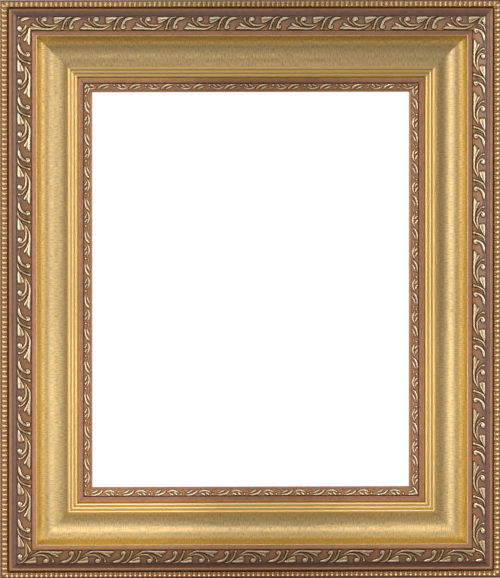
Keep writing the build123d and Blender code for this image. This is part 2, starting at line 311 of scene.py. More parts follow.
class StudioSettings(bpy.types.PropertyGroup):
    """The camera, the lamps and the floor."""

    azimuth: angle("Azimuth", "Turn of the camera round the frame", -3.8)
    elevation: angle("Elevation", "Height of the camera above the frame's middle", 2.0)
    distance: length("Distance", "Distance of the camera from the frame", 20.0)
    left_panel: power("Left panel", "Panel before the opening that faces the left rail", 2.8)
    right_panel: power("Right panel", "Panel before the opening that faces the right rail", 5.0)
    low_panel: power("Low panel", "Panel before the opening that faces the bottom rail", 2.2)
    left_power: power("Left light", "Soft light in front at the left", 6.5)
    left_side_power: power("Left side light", "Soft light far to the left", 9.0)
    right_side_power: power("Right side light", "Soft light far to the right", 8.0)
    top_power: power("Top light", "Soft light above", 3.4)
    back_power: power("Back lights", "Each of the two soft lights behind the frame", 18.0)
    room: FloatProperty(name="Room", description="Brightness of the room in front of the frame",
                        default=0.20, min=0, max=1)
    floor_size: length("Floor size", "Width of the floor", 16.0)


def ornament():
    return bpy.context.scene.frame_ornament


def colours():
    return bpy.context.scene.frame_colours


def studio():
    return bpy.context.scene.frame_studio


# Outlines across a rail


def arc_between(start, end, rise, steps):
    """Points after start on an arc that rises above its chord, or sags below it if rise is negative."""
    start, end = np.array(start), np.array(end)
    chord = end - start
    run = np.hypot(*chord)
    side = np.array((-chord[1], chord[0])) / run
    if side[1] < 0:
        side = -side
    radius = ((run / 2) ** 2 + rise**2) / (2 * abs(rise))
    middle = (start + end) / 2 - side * math.copysign(radius - abs(rise), rise)
    half = math.asin(min(1.0, run / 2 / radius))
    direction = chord / run
    up = math.copysign(radius, rise)
    return [tuple(middle + direction * radius * math.sin(turn) + side * up * math.cos(turn))
            for turn in np.linspace(-half, half, steps + 1)[1:]]


class Outline:
    """A closed outline across a rail, in (inward, up) pairs, with the finish of each stretch."""

    def __init__(self, start):
        self.points = [start]
        self.finishes = []

    def line(self, finish, *points):
        self.points.extend(points)
        self.finishes.extend([finish] * len(points))

    def arc(self, finish, end, rise, steps):
        self.line(finish, *arc_between(self.points[-1], end, rise, steps))

    def closed(self, finish):
        """The outline with its corners rounded, as an array of points and a list of finishes."""
        finishes = self.finishes + [finish]
        points, kinds = [], []
        for index, point in enumerate(self.points):
            here = np.array(point)
            before = np.array(self.points[index - 1]) - here
            after = np.array(self.points[(index + 1) % len(self.points)]) - here
            to_before, to_after = np.hypot(*before), np.hypot(*after)
            turn = math.pi - math.acos(np.clip(before @ after / to_before / to_after, -1, 1))
            if turn > SHARP_TURN:
                start = here + before / to_before * min(CORNER_ROUND, to_before * CORNER_SHARE)
                end = here + after / to_after * min(CORNER_ROUND, to_after * CORNER_SHARE)
                points.extend([start, start * 0.25 + here * 0.5 + end * 0.25, end])
                kinds.extend([finishes[index - 1], finishes[index], finishes[index]])
            else:
                points.append(here)
                kinds.append(finishes[index])
        return np.array(points), kinds


def moulding_outline():
    """The moulding's section, up its outer side, across its face and back along the wood."""
    outline = Outline((0, 0))
    outline.line("edge", (0, RIBS.back - EDGE_ROUND), (EDGE_ROUND, RIBS.back), (RIBS.inner, RIBS.back))
    groove_at = (RIBS.inner + FILLET_AT) / 2
    outline.line("toned", (groove_at, RIBS.back - GROOVE_DEPTH), (FILLET_AT, RIBS.back))
    outline.line("toned", (FILLET_AT, FILLET_HEIGHT))
    outline.arc("toned", (HOLLOW_AT, HOLLOW_HEIGHT), FILLET_RISE, steps=10)
    outline.arc("toned", (SCROLLS.outer, SCROLL_SEATS[0]), -HOLLOW_SAG, steps=10)
    outline.line("toned", (SCROLLS.outer, SCROLLS.back))
    outline.line("toned", (SCROLLS.inner, SCROLLS.back + SCROLL_SEATS[1] - SCROLL_SEATS[0]))
    outline.line("toned", (SCROLLS.inner, LINE_HEIGHT), (FLAT_AT, LINE_HEIGHT), (FLAT_AT, FLAT_HEIGHT))
    outline.arc("toned", (LIP_AT, FLAT_HEIGHT + FLAT_SLOPE), FLAT_RISE, steps=6)
    outline.line("gold", (LIP_AT, MOULDING.front - LIP_EDGE_DROP))
    outline.arc("gold", (COVE_AT, MOULDING.front - LIP_DROP), LIP_RISE, steps=6)
    outline.arc("gold", (REEDS_AT, COVE_END_HEIGHT), -COVE_SAG, steps=44)
    for reed in range(1, REED_COUNT + 1):
        end = (REEDS_AT + reed * REED_WIDTH, COVE_END_HEIGHT - reed * REED_STEP)
        outline.arc("gold", end, REED_RISE, steps=10)
    outline.line("toned", (MOULDING.inner, LEDGE_HEIGHT))
    outline.line("wood", (MOULDING.inner - LEDGE_WIDTH, LEDGE_HEIGHT), (MOULDING.inner - LEDGE_WIDTH, 0))
    return outline.closed("wood")


def slip_outline():
    """The slip's section, from its tongue over the brown fillet to the sight edge and the rebate."""
    outer = MOULDING.inner + SLIP_PLAY
    line_at = SIGHT.outer - SLIP_LINE_WIDTH
    outline = Outline((SLIP.outer, 0))
    outline.line("wood", (SLIP.outer, LEDGE_HEIGHT - SLIP_PLAY), (outer, LEDGE_HEIGHT - SLIP_PLAY))
    outline.line("toned", (outer, SLIP.front - SLIP_ROUND), (outer + SLIP_ROUND, SLIP.front - SLIP_EDGE_DROP))
    outline.arc("toned", (line_at, SLIP.front - SLIP_RISE), SLIP_RISE, steps=6)
    outline.line("toned", (line_at + SLIP_LINE_WIDTH / 2, SLIP.front - SLIP_LINE_DEPTH))
    outline.line("toned", (SIGHT.outer, SIGHT_SEATS[0]), (SIGHT.outer, SIGHT_SEATS[0] - SIGHT_STEP))
    outline.line("toned", (SIGHT.inner, SIGHT.back), (SIGHT.inner, SIGHT_SEATS[1]))
    outline.arc("toned", (SLIP.inner, SIGHT_EDGE_HEIGHT), SIGHT_EDGE_RISE, steps=5)
    outline.line("edge", (SLIP.inner, REBATE_DEPTH))
    outline.line("wood", (SLIP.inner - REBATE_LIP, REBATE_DEPTH), (SLIP.inner - REBATE_LIP, 0))
    return outline.closed("wood")


# Meshes


def make_piece(name, node, shape, finishes, kinds=None, fields=None, body="frame"):
    """Makes the piece that stands for a node, from its vertices and faces, with its finishes and fields."""
    vertices, faces = shape
    mesh = bpy.data.meshes.new(name)
    mesh.from_pydata(vertices, [], faces)
    for finish in finishes:
        mesh.materials.append(finish_named(finish))
    if kinds is not None:
        mesh.polygons.foreach_set("material_index", kinds)
    mesh.polygons.foreach_set("use_smooth", [True] * len(mesh.polygons))
    mesh.set_sharp_from_angle(angle=SHARP_EDGE)
    for field, values in (fields or {}).items():
        kind, part = ("FLOAT_VECTOR", "vector") if values.ndim == 2 else ("FLOAT", "value")
        mesh.attributes.new(field, kind, "POINT").data.foreach_set(part, values.ravel())
    mesh.validate()
    piece = bpy.data.objects.new(name, mesh)
    bpy.context.scene.collection.objects.link(piece)
    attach(piece, body)
    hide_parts(node)
    return piece


def ring_faces(rows, sides, closed=False):
    """Quads between the rows of a sweep or tube, and its two ends if it isn't closed on itself."""
    row, side = np.meshgrid(np.arange(rows if closed else rows - 1), np.arange(sides), indexing="ij")
    following, after = (row + 1) % rows, (side + 1) % sides
    quads = np.stack((row * sides + side, row * sides + after,
                      following * sides + after, following * sides + side), axis=-1)
    faces = quads.reshape(-1, 4).tolist()
    if not closed:
        faces += [list(range(sides))[::-1], list(range((rows - 1) * sides, rows * sides))]
    return faces


def on_rail(rail, inward, up, along):
    """Places of points given across, above and along a rail."""
    return (np.array(rail.middle) + np.multiply.outer(inward, np.array(rail.inward))
            + np.multiply.outer(up, np.array(FRONT)) + np.multiply.outer(along, np.array(rail.along)))


def sweep_along(rail, inward, up, shares):
    """The shape and the fields of a section swept between a rail's two mitres.

    inward is one row of places across the rail, up is one row or a row for each station, and shares are
    the stations along it, from -1 at one mitre to 1 at the other."""
    half = rail.run / 2 - inward - JOINT_GAP
    along = np.outer(shares, half)
    across = np.broadcast_to(inward, along.shape)
    vertices = on_rail(rail, across, np.broadcast_to(up, along.shape), along).reshape(-1, 3)
    steps = np.hypot(np.diff(inward), np.diff(np.atleast_2d(up)[0]))
    girth = np.broadcast_to(np.concatenate(([0], np.cumsum(steps))), along.shape)
    joint = np.clip(1 - (half * (1 - np.abs(shares[:, None]))) / JOINT_STAIN, 0, 1)
    fields = {"rail": np.stack((along, girth, joint), axis=-1).reshape(-1, 3), "across": across.ravel()}
    return (vertices, ring_faces(len(shares), len(inward))), fields


RAIL_FINISHES = {"wood": "bare_wood", "edge": "painted_edge", "toned": "toned_bronze",
                 "gold": "gilded_cove"}


def sweep_rails(name, node, outline):
    """Four lengths of moulding or slip: an outline swept between the mitres, each stretch in its finish."""
    points, stretches = outline
    labels = list(RAIL_FINISHES)
    shares = np.concatenate(([-1, MITRE_CUT - 1], np.linspace(-1, 1, RAIL_CUTS)[1:-1], [1 - MITRE_CUT, 1]))
    shares.sort()
    strip = [labels.index(stretch) for stretch in stretches]
    kinds = strip * (len(shares) - 1) + [labels.index("wood")] * 2
    for rail in RAILS:
        shape, fields = sweep_along(rail, points[:, 0], points[:, 1], shares)
        make_piece(f"{name}_{rail.name}", f"{node}_{rail.name}", shape, RAIL_FINISHES.values(), kinds,
                   fields)


# Raised ornament

Stroke = namedtuple("Stroke", "height points")

# Strokes of the running scrolls: shares of the repeat along and of the band's width across from its
# outer edge, and the half width of the stroke in units of STROKE_UNIT
SCROLL_STROKES = (
    # main stem, swelling from its point
    Stroke(1.0, ((-0.02, 0.13, 0.4), (0.04, 0.14, 1.45), (0.105, 0.20, 1.6), (0.16, 0.36, 1.3),
                 (0.192, 0.56, 1.05), (0.208, 0.72, 0.95))),
    # volute at its head
    Stroke(0.85, ((0.217, 0.72, 1.05), (0.212, 0.84, 1.1), (0.18, 0.88, 1.0), (0.152, 0.79, 0.9),
                  (0.16, 0.69, 0.9), (0.182, 0.67, 0.5))),
    Stroke(1.1, ((0.197, 0.80, 1.7), (0.199, 0.81, 1.7))),
    # second stem with its bud
    Stroke(0.9, ((0.13, 0.05, 0.3), (0.19, 0.07, 0.75), (0.24, 0.12, 0.95), (0.275, 0.22, 0.95),
                 (0.305, 0.38, 0.9), (0.33, 0.58, 0.85), (0.345, 0.76, 0.85))),
    Stroke(1.0, ((0.355, 0.88, 1.45), (0.357, 0.89, 1.45))),
    # thin lobe between the two stems
    Stroke(0.55, ((0.24, 0.24, 0.3), (0.268, 0.42, 0.7), (0.283, 0.62, 0.7), (0.292, 0.80, 0.4))),
    # bell, with a ridge below and above and a shallow body between
    Stroke(1.0, ((0.28, 0.10, 0.4), (0.34, 0.11, 1.2), (0.42, 0.13, 1.5), (0.49, 0.15, 1.6))),
    Stroke(0.85, ((0.31, 0.14, 0.4), (0.375, 0.26, 0.9), (0.44, 0.38, 1.15), (0.49, 0.43, 1.3))),
    Stroke(0.6, ((0.37, 0.19, 1.0), (0.44, 0.26, 2.2), (0.485, 0.29, 2.5))),
    # long leaf along the inner edge, with three lobes at its end
    Stroke(0.9, ((0.40, 0.60, 0.4), (0.46, 0.69, 0.8), (0.51, 0.79, 1.0), (0.565, 0.88, 1.1),
                 (0.64, 0.91, 1.2), (0.77, 0.88, 1.3), (0.90, 0.86, 1.5), (0.97, 0.86, 1.4),
                 (1.015, 0.90, 0.5))),
    Stroke(0.85, ((0.74, 0.82, 0.3), (0.80, 0.76, 0.8), (0.86, 0.68, 1.15), (0.91, 0.58, 1.4),
                  (0.935, 0.51, 0.6))),
    Stroke(0.6, ((0.76, 0.86, 0.4), (0.84, 0.81, 0.9), (0.91, 0.76, 1.1), (0.97, 0.71, 0.7))),
    # scroll that turns back into an eye
    Stroke(0.75, ((0.40, 0.62, 0.3), (0.47, 0.62, 0.6), (0.54, 0.65, 0.95), (0.60, 0.66, 1.15),
                  (0.665, 0.62, 1.15), (0.715, 0.51, 1.1), (0.745, 0.36, 1.0), (0.745, 0.22, 0.95))),
    Stroke(1.15, ((0.693, 0.20, 2.5), (0.700, 0.20, 2.5))),
    # thin stems beside the eye, one with a bud
    Stroke(0.7, ((0.70, 0.76, 0.3), (0.755, 0.61, 0.8), (0.81, 0.44, 0.85), (0.838, 0.27, 0.85))),
    Stroke(0.95, ((0.836, 0.16, 1.3), (0.838, 0.17, 1.3))),
    Stroke(0.45, ((0.70, 0.64, 0.3), (0.757, 0.47, 0.55), (0.788, 0.30, 0.55), (0.797, 0.19, 0.4))),
    # stem that leads to the next repeat
    Stroke(0.5, ((0.865, 0.22, 0.3), (0.94, 0.13, 0.6), (1.0, 0.09, 0.5))),
    # lobe between bell and leaf
    Stroke(0.4, ((0.36, 0.42, 0.3), (0.42, 0.53, 0.7), (0.50, 0.57, 0.8), (0.56, 0.57, 0.3))),
)

# Strokes of the small leaves, given in the same way
SIGHT_STROKES = (
    # two leaves side by side
    Stroke(1.0, ((-0.02, 0.16, 0.3), (0.12, 0.14, 0.8), (0.25, 0.30, 1.0), (0.33, 0.57, 0.95),
                 (0.38, 0.90, 0.5))),
    Stroke(0.85, ((0.0, 0.42, 0.3), (0.10, 0.55, 0.8), (0.175, 0.74, 0.85), (0.25, 0.93, 0.5))),
    # scroll that turns round a bud
    Stroke(0.8, ((0.40, 0.36, 0.3), (0.48, 0.70, 0.75), (0.60, 0.86, 0.9), (0.71, 0.74, 0.85),
                 (0.79, 0.50, 0.5))),
    Stroke(0.9, ((0.50, 0.42, 0.7), (0.60, 0.16, 0.95))),
    Stroke(0.9, ((0.66, 0.50, 0.75), (0.73, 0.18, 0.95))),
    Stroke(1.0, ((0.86, 0.24, 1.0), (0.865, 0.25, 1.0))),
    Stroke(0.6, ((0.84, 0.60, 0.4), (0.90, 0.72, 0.7), (0.98, 0.80, 0.5))),
)

# The applied bands: their pieces, nodes, slots and finishes, and where they lie
Band = namedtuple("Band", "name node slot finish reach")
RIB_BAND = Band("ribs", "bead_band", "bead_composition", "gilded_ribs", RIBS)
SCROLL_BAND = Band("scrolls", "scroll_band", "scroll_composition", "gilded_scrolls", SCROLLS)
LEAF_BAND = Band("leaves", "sight_ornament", "sight_composition", "gilded_leaves", SIGHT)

# A repeating ornament: its strokes, the heights of its ground at its two edges and the rise between
# them, its mesh's steps along and across, and where its repeats start on each rail from its middle
Ornament = namedtuple("Ornament", "band strokes seats rise steps starts")
RUNNING_SCROLLS = Ornament(
    SCROLL_BAND, SCROLL_STROKES, SCROLL_SEATS, 0.3 * mm, (0.45 * mm, 0.4 * mm),
    {"bottom": 21.3 * mm, "right": -18.2 * mm, "top": 19.2 * mm, "left": 22.8 * mm})
SIGHT_LEAVES = Ornament(
    LEAF_BAND, SIGHT_STROKES, SIGHT_SEATS, 0.1 * mm, (0.4 * mm, 0.3 * mm),
    {"bottom": -2.8 * mm, "right": 20.8 * mm, "top": 17.7 * mm, "left": 6.8 * mm})

Tile = namedtuple("Tile", "height hollow")


def smooth_path(points):
    """Points on a smooth curve through the given ones, ends included."""
    points = np.array(points, float)
    padded = np.vstack((2 * points[0] - points[1], points, 2 * points[-1] - points[-2]))
    share = np.linspace(0, 1, STEPS_PER_SPAN, endpoint=False)[:, None]
    path = []
    for before, start, end, after in zip(padded, padded[1:], padded[2:], padded[3:]):
        path.append(0.5 * (2 * start + (end - before) * share
                           + (2 * before - 5 * start + 4 * end - after) * share**2
                           + (3 * start - before - 3 * end + after) * share**3))
    return np.vstack((*path, points[-1:]))


def dome(along, across, start, end, thickness):
    """Height of a rounded stroke between two (along, across, half width) points, over a grid."""
    run = end[:2] - start[:2]
    share = ((along - start[0]) * run[0] + (across - start[1]) * run[1]) / max(run @ run, 1e-12)
    share = np.clip(share, 0, 1)
    off = np.hypot(along - start[0] - share * run[0], across - start[1] - share * run[1])
    half = start[2] + share * (end[2] - start[2])
    top = thickness * np.minimum(1, half / THIN_STROKE) ** THIN_POWER
    return top * np.sqrt(np.maximum(0, 1 - (off / half) ** 2))


def relief_tile(strokes, pitch, width, relief):
    """One repeat of a relief as a grid of heights, and how deep each point lies among its neighbours."""
    columns, rows = round(pitch / TILE_STEP), round(width / TILE_STEP)
    along, across = np.meshgrid(np.arange(columns) / columns * pitch, np.linspace(0, width, rows + 1),
                                indexing="ij")
    height = np.zeros_like(along)
    for stroke in strokes:
        path = smooth_path(stroke.points) * (pitch, width, STROKE_UNIT)
        for start, end in zip(path, path[1:]):
            for shift in (-pitch, 0, pitch):
                low = min(start[0], end[0]) - STROKE_REACH + shift
                high = max(start[0], end[0]) + STROKE_REACH + shift
                if high < 0 or low > pitch:
                    continue
                near = slice(max(0, int(low / TILE_STEP)), min(columns, int(high / TILE_STEP) + 2))
                part = dome(along[near] - shift, across[near], start, end, stroke.height * relief)
                height[near] = np.maximum(height[near], part)
    height *= np.clip(np.minimum(across, width - across) / BORDER, 0, 1)
    return Tile(height, hollow_of(height, relief))


def hollow_of(height, relief):
    """0 on open ground and on tops, and up to 1 where a point lies close below its surroundings."""
    cells = 2 * CREASE_CELLS + 1
    around = height
    for _ in range(2):
        blurred = around.copy()
        for step in range(1, CREASE_CELLS + 1):
            blurred += np.roll(around, step, 0) + np.roll(around, -step, 0)
        padded = np.pad(blurred / cells, ((0, 0), (CREASE_CELLS, CREASE_CELLS)), mode="edge")
        around = sum(padded[:, step:step + height.shape[1]] for step in range(cells)) / cells
    return np.clip((around - height) / (CREASE_SHARE * relief), 0, 1)


def sampled(grid, along, across, pitch, width):
    """Values of a repeating grid at places along and across a band."""
    column = along / pitch % 1 * grid.shape[0]
    row = np.clip(across / width, 0, 1) * (grid.shape[1] - 1)
    first, low = np.floor(column).astype(int), np.minimum(np.floor(row).astype(int), grid.shape[1] - 2)
    right, up = column - first, row - low
    first, second = first % grid.shape[0], (first + 1) % grid.shape[0]
    return ((1 - right) * ((1 - up) * grid[first, low] + up * grid[first, low + 1])
            + right * ((1 - up) * grid[second, low] + up * grid[second, low + 1]))


def applied_band(band, rail, feet, inward, shares, surface, relief, recess):
    """A band laid on the moulding: its surface, closed by a flat back between two feet."""
    across = np.concatenate(([band.reach.outer], inward, [band.reach.inner]))
    ends = [np.full(len(shares), foot) for foot in feet]
    shape, fields = sweep_along(rail, across, np.column_stack((ends[0], surface, ends[1])), shares)
    fields["relief"] = np.pad(relief, ((0, 0), (1, 1))).ravel()
    # The feet count as fully recessed, so the umber wash paints shade along the band's edges where it meets
    # the moulding
    fields["recess"] = np.pad(recess, ((0, 0), (1, 1)), constant_values=1).ravel()
    make_piece(f"{band.name}_{rail.name}", f"{band.node}_{rail.name}", shape, [band.finish],
               fields=fields)


def lay_ornament(kind, side_pitch, across_pitch, relief):
    """Lays a kind of repeating ornament on the four rails."""
    reach, seats = kind.band.reach, kind.seats
    breadth = reach.inner - reach.outer
    width = math.hypot(breadth, seats[1] - seats[0])
    share = np.linspace(0, 1, round(breadth / kind.steps[1]) + 1)
    inward = reach.outer + share * breadth
    ground = seats[0] + share * (seats[1] - seats[0]) + kind.rise * 4 * share * (1 - share)
    feet = [reach.back + (seat - min(seats)) for seat in seats]
    for rail in RAILS:
        pitch = side_pitch if rail.name in ("left", "right") else across_pitch
        tile = relief_tile(kind.strokes, pitch, width, relief)
        shares = np.linspace(-1, 1, round(rail.run / kind.steps[0]) + 1)
        along = np.outer(shares, rail.run / 2 - inward) - kind.starts[rail.name]
        across = np.broadcast_to(share * width, along.shape)
        raised = sampled(tile.height, along, across, pitch, width)
        hollow = sampled(tile.hollow, along, across, pitch, width)
        applied_band(kind.band, rail, feet, inward, shares, ground + raised, raised / tile.height.max(),
                     hollow)


def rib_band(rail):
    """The ribbed band: rounded bars across the edge, each with a larger dome at its outer end."""
    pitch, depth = ornament().rib_pitch, ornament().rib_depth
    share = np.linspace(0, 1, RIB_ROWS + 1)
    inward = RIBS.outer + share * (RIBS.inner - RIBS.outer)
    shares = np.linspace(-1, 1, round(rail.run / pitch * RIB_CUTS) + 1)
    along = np.outer(shares, rail.run / 2 - inward)
    crest, half_rib = WAIST_HEIGHT, WAIST_HALF
    for place, reach, rise, widening in RIB_DOMES:
        swell = np.exp(-((share - place) / reach) ** 2)
        crest = crest + rise * swell
        half_rib = half_rib + widening * swell
    side = np.abs(along / pitch % 1 - 0.5) / half_rib
    end = np.abs(2 * share - 1)
    bar = np.sqrt(np.maximum(0, 1 - side**RIB_ROUNDNESS - end**RIB_END_ROUNDNESS)) * crest
    foot = (RIBS.front - RIBS.back - depth) * (1 - end**FOOT_SQUARENESS) * FOOT_SHARE
    surface = np.minimum(RIBS.back + foot + bar * depth, RIBS.front)
    recess = RIB_RECESS * np.clip(1 - bar / RIB_RECESS_BELOW, 0, 1)
    applied_band(RIB_BAND, rail, [RIBS.back] * 2, inward, shares, surface, bar, recess)


# Shader nodes


class Nodes:
    """A shader tree, with short ways to add what the finishes use."""

    def __init__(self, tree):
        self.tree = tree

    def join(self, value, socket):
        """Links another node's output to a socket, or sets a plain value on it."""
        if isinstance(value, bpy.types.NodeSocket):
            self.tree.links.new(value, socket)
        elif socket.type == "RGBA":
            socket.default_value = (*value, 1.0)
        else:
            socket.default_value = value

    def add(self, kind, inputs=None, **settings):
        """Adds a node with its settings, and joins its inputs."""
        made = self.tree.nodes.new(kind)
        for key, value in settings.items():
            setattr(made, key, value)
        for key, value in (inputs or {}).items():
            self.join(value, made.inputs[key])
        return made

    def maths(self, operation, first, second=0.0, clamp=False):
        return self.add("ShaderNodeMath", {0: first, 1: second}, operation=operation,
                        use_clamp=clamp).outputs[0]

    def times(self, first, second):
        return self.maths("MULTIPLY", first, second)

    def mixed(self, factor, first, second):
        """A mix of two colours."""
        return self.add("ShaderNodeMix", {0: factor, 6: first, 7: second}, data_type="RGBA").outputs[2]

    def spread(self, value, low, high, to_low=0.0, to_high=1.0):
        """Maps a range to another, held at its ends."""
        return self.add("ShaderNodeMapRange", {"Value": value, "From Min": low, "From Max": high,
                                               "To Min": to_low, "To Max": to_high}).outputs[0]

    def varied(self, noise, low, high):
        """Maps the range that most of a noise lies in to another."""
        return self.spread(noise, 0.3, 0.7, low, high)

    def field(self, name, output="Fac"):
        return self.add("ShaderNodeAttribute", attribute_name=name).outputs[output]

    def place(self, output="Object"):
        return self.add("ShaderNodeTexCoord").outputs[output]

    def parts(self, vector):
        return self.add("ShaderNodeSeparateXYZ", {0: vector}).outputs

    def vector(self, *parts):
        return self.add("ShaderNodeCombineXYZ", dict(enumerate(parts))).outputs[0]

    def noise(self, place, **sockets):
        return self.add("ShaderNodeTexNoise", {"Vector": place, **sockets}).outputs["Fac"]

    def group(self, name, **sockets):
        """Places a shared group, which is built the first time it is asked for."""
        tree = bpy.data.node_groups.get(name) or GROUPS[name](name)
        return self.add("ShaderNodeGroup", sockets, node_tree=tree).outputs


def new_group(name, given, put_out):
    """An empty shader group with named sockets: its nodes, what it is given and what it puts out."""
    tree = bpy.data.node_groups.new(name, "ShaderNodeTree")
    for way, sockets in (("INPUT", given), ("OUTPUT", put_out)):
        for label, kind in sockets.items():
            tree.interface.new_socket(label, in_out=way, socket_type="NodeSocket" + kind)
    nodes = Nodes(tree)
    return nodes, nodes.add("NodeGroupInput").outputs, nodes.add("NodeGroupOutput").inputs


def brush_marks(name):
    """Marks of a brush drawn across the rail, fine and broad: values that vary along it."""
    nodes, given, result = new_group(name, {"Rail": "Vector", "Pitch": "Float", "Length": "Float"},
                                     {"Marks": "Float", "Broad": "Float"})
    rail = nodes.parts(given["Rail"])
    along = nodes.maths("DIVIDE", rail[0], given["Pitch"])
    across = nodes.maths("DIVIDE", rail[1], given["Length"])
    fine = nodes.noise(nodes.vector(along, across), Scale=1.0, Detail=4.0, Roughness=0.65)
    broad = nodes.noise(nodes.vector(nodes.times(along, 0.11), across, 7.0), Scale=1.0)
    nodes.join(fine, result["Marks"])
    nodes.join(broad, result["Broad"])
    return nodes.tree


def specks(name):
    """Small dark pits and flecks, scattered in patches by size and amount."""
    nodes, given, result = new_group(name, {"Size": "Float", "Amount": "Float"}, {"Mask": "Float"})
    place = nodes.place()
    scale = nodes.maths("DIVIDE", 1.0, given["Size"])
    cells = nodes.add("ShaderNodeTexVoronoi", {"Vector": place, "Scale": scale}).outputs
    spot = nodes.spread(cells["Distance"], 0.12, 0.3, 1.0, 0.0)
    draw = nodes.add("ShaderNodeSeparateColor", {0: cells["Color"]}).outputs[0]
    kept = nodes.times(spot, nodes.maths("LESS_THAN", draw, given["Amount"]))
    patches = nodes.spread(nodes.noise(place, Scale=60.0), 0.4, 0.6)
    nodes.join(nodes.times(kept, patches), result["Mask"])
    return nodes.tree


def toning_and_crease_shade(name):
    """A dark wash by a recess mask and a mottle, kept off the tops; where the recess mask follows the creases
    of the relief, this darkening is painted shade as well as patina.
    """
    nodes, given, result = new_group(
        name, {"Colour": "Color", "Wash": "Color", "Recess": "Float", "Amount": "Float", "Mottle": "Float"},
        {"Colour": "Color", "Wash and shade mask": "Float"})
    cloud = nodes.noise(nodes.place(), Scale=180.0, Detail=5.0, Roughness=0.6)
    mottle = nodes.times(nodes.varied(cloud, -0.5, 0.5), given["Mottle"])
    mask = nodes.maths("ADD", nodes.times(given["Recess"], given["Amount"]), mottle, clamp=True)
    nodes.join(nodes.mixed(mask, given["Colour"], given["Wash"]), result["Colour"])
    nodes.join(mask, result["Wash and shade mask"])
    return nodes.tree


GROUPS = {"Brush Marks": brush_marks, "Specks": specks, "Toning and Crease Shade": toning_and_crease_shade}


# Finishes

# Brush marks, streaks and pits of the gilding, the share of them that shows on the reeds, the painted shade
# of the cove's darker band, and how metallic the ground is under the raised gold and where that gold starts
# to brighten as a painted highlight
MARK_PITCH = 1.3 * mm
MARK_LENGTH = 6 * mm
STREAK_SHARE = 0.66
STREAK_TONE = 0.34
SHADED_TONE = 0.74
WARM_SHARE = 0.25
PIT_SIZE = 2.0 * mm
PIT_SHARE = 0.6
REED_MARKS = 0.2
MITRE_STAIN = 0.25
BRONZE_PIT_SHARE = 0.4
GROUND_METAL = 0.25
GOLD_RISE = 0.4


def darker(tone, share):
    return [value * share for value in tone]


class Finish(Nodes):
    """The nodes of a new material with a Principled shader."""

    def __init__(self, name):
        self.material = bpy.data.materials.new(name)
        self.material.use_nodes = True
        super().__init__(self.material.node_tree)

    def across_ramp(self, *stops):
        """A colour that changes across the rail, from (place in metres, colour) stops."""
        factor = self.maths("DIVIDE", self.field("across"), SLIP.inner)
        made = self.add("ShaderNodeValToRGB", {0: factor})
        elements = made.color_ramp.elements
        while len(elements) < len(stops):
            elements.new(1.0)
        for element, (place, tone) in zip(elements, stops):
            element.position = place / SLIP.inner
            element.color = (*tone, 1)
        return made.outputs[0]

    def toned(self, tone, **sockets):
        """A colour under an umber wash, and the wash's mask; in the creases of a relief that wash is painted
        shade as well as patina.
        """
        return self.group("Toning and Crease Shade", Colour=tone, Wash=colours().umber, **sockets)

    def dirtied(self, share, tone):
        """A colour with umber over a share of it."""
        return self.mixed(share, tone, colours().umber)

    def stained(self, tone):
        """A colour with a dark stain at the mitres."""
        joint = self.parts(self.field("rail", "Vector"))[2]
        return self.dirtied(self.times(joint, MITRE_STAIN), tone)

    def done(self, height, depth, sockets):
        """The material, with a bump, and values and links on its shader's own sockets."""
        shader = self.tree.nodes["Principled BSDF"]
        bump = self.add("ShaderNodeBump", {"Height": height, "Distance": depth})
        self.join(bump.outputs["Normal"], shader.inputs["Normal"])
        for key, value in sockets.items():
            self.join(value, shader.inputs[key])
        return self.material


def gilded_cove(name):
    """Brushed gold leaf in the lip, cove and reeds, stained at the mitres, with painted light across the
    rail:
    painted highlights on the lip's edge, in the upper cove and on the reed tops, and painted shade below the
    lip, partway down the cove and between the reeds.
    """
    tone, finish = colours(), Finish(name)
    # Stops across the rail: the pale gold on the lip's edge, the bright gold in the upper cove and the reed
    # gold on each reed's top are painted highlights; the deep gold below the lip, the darker gold partway
    # down the cove and the deep gold between the reeds are painted shade
    stops = [(LIP_AT, tone.pale_gold), (COVE_AT + 0.4 * mm, tone.deep_gold),
             (COVE_AT + 4 * mm, tone.deep_gold), (COVE_AT + 8 * mm, tone.bright_gold),
             (COVE_AT + 13 * mm, darker(tone.gold, SHADED_TONE)), (COVE_AT + 21 * mm, tone.gold),
             (REEDS_AT - 0.8 * mm, tone.gold)]
    for reed in range(REED_COUNT):
        start = REEDS_AT + reed * REED_WIDTH
        stops += [(start, tone.deep_gold), (start + 0.4 * REED_WIDTH, tone.reed_gold),
                  (start + 0.6 * REED_WIDTH, tone.reed_gold)]
    base = finish.across_ramp(*stops, (MOULDING.inner, tone.deep_gold))
    in_cove = finish.spread(finish.field("across"), REEDS_AT - 1 * mm, REEDS_AT, 1.0, REED_MARKS)
    marks = finish.group("Brush Marks", Rail=finish.field("rail", "Vector"), Pitch=MARK_PITCH,
                         Length=MARK_LENGTH)
    fine = finish.times(finish.varied(marks["Marks"], -1.0, 1.0), in_cove)
    broad = finish.varied(marks["Broad"], -1.0, 1.0)
    streaks = finish.times(finish.spread(fine, -0.4, 0.9, 0.0, STREAK_SHARE), in_cove)
    streaked = finish.mixed(streaks, base, darker(tone.deep_gold, STREAK_TONE))
    warmth = finish.times(finish.spread(broad, -0.4, 1.0), WARM_SHARE)
    warmed = finish.mixed(warmth, streaked, tone.deep_gold)
    pits = finish.times(finish.group("Specks", Size=PIT_SIZE, Amount=0.3)["Mask"], in_cove)
    pitted = finish.dirtied(finish.times(pits, PIT_SHARE), warmed)
    height = finish.maths("SUBTRACT", finish.times(fine, 0.5), pits)
    return finish.done(height, 0.2 * mm, {
        "Base Color": finish.stained(pitted), "Metallic": 0.82, "Coat Weight": 0.7,
        "Coat Roughness": 0.3, "Roughness": finish.spread(fine, -1.0, 1.0, 0.30, 0.46)})


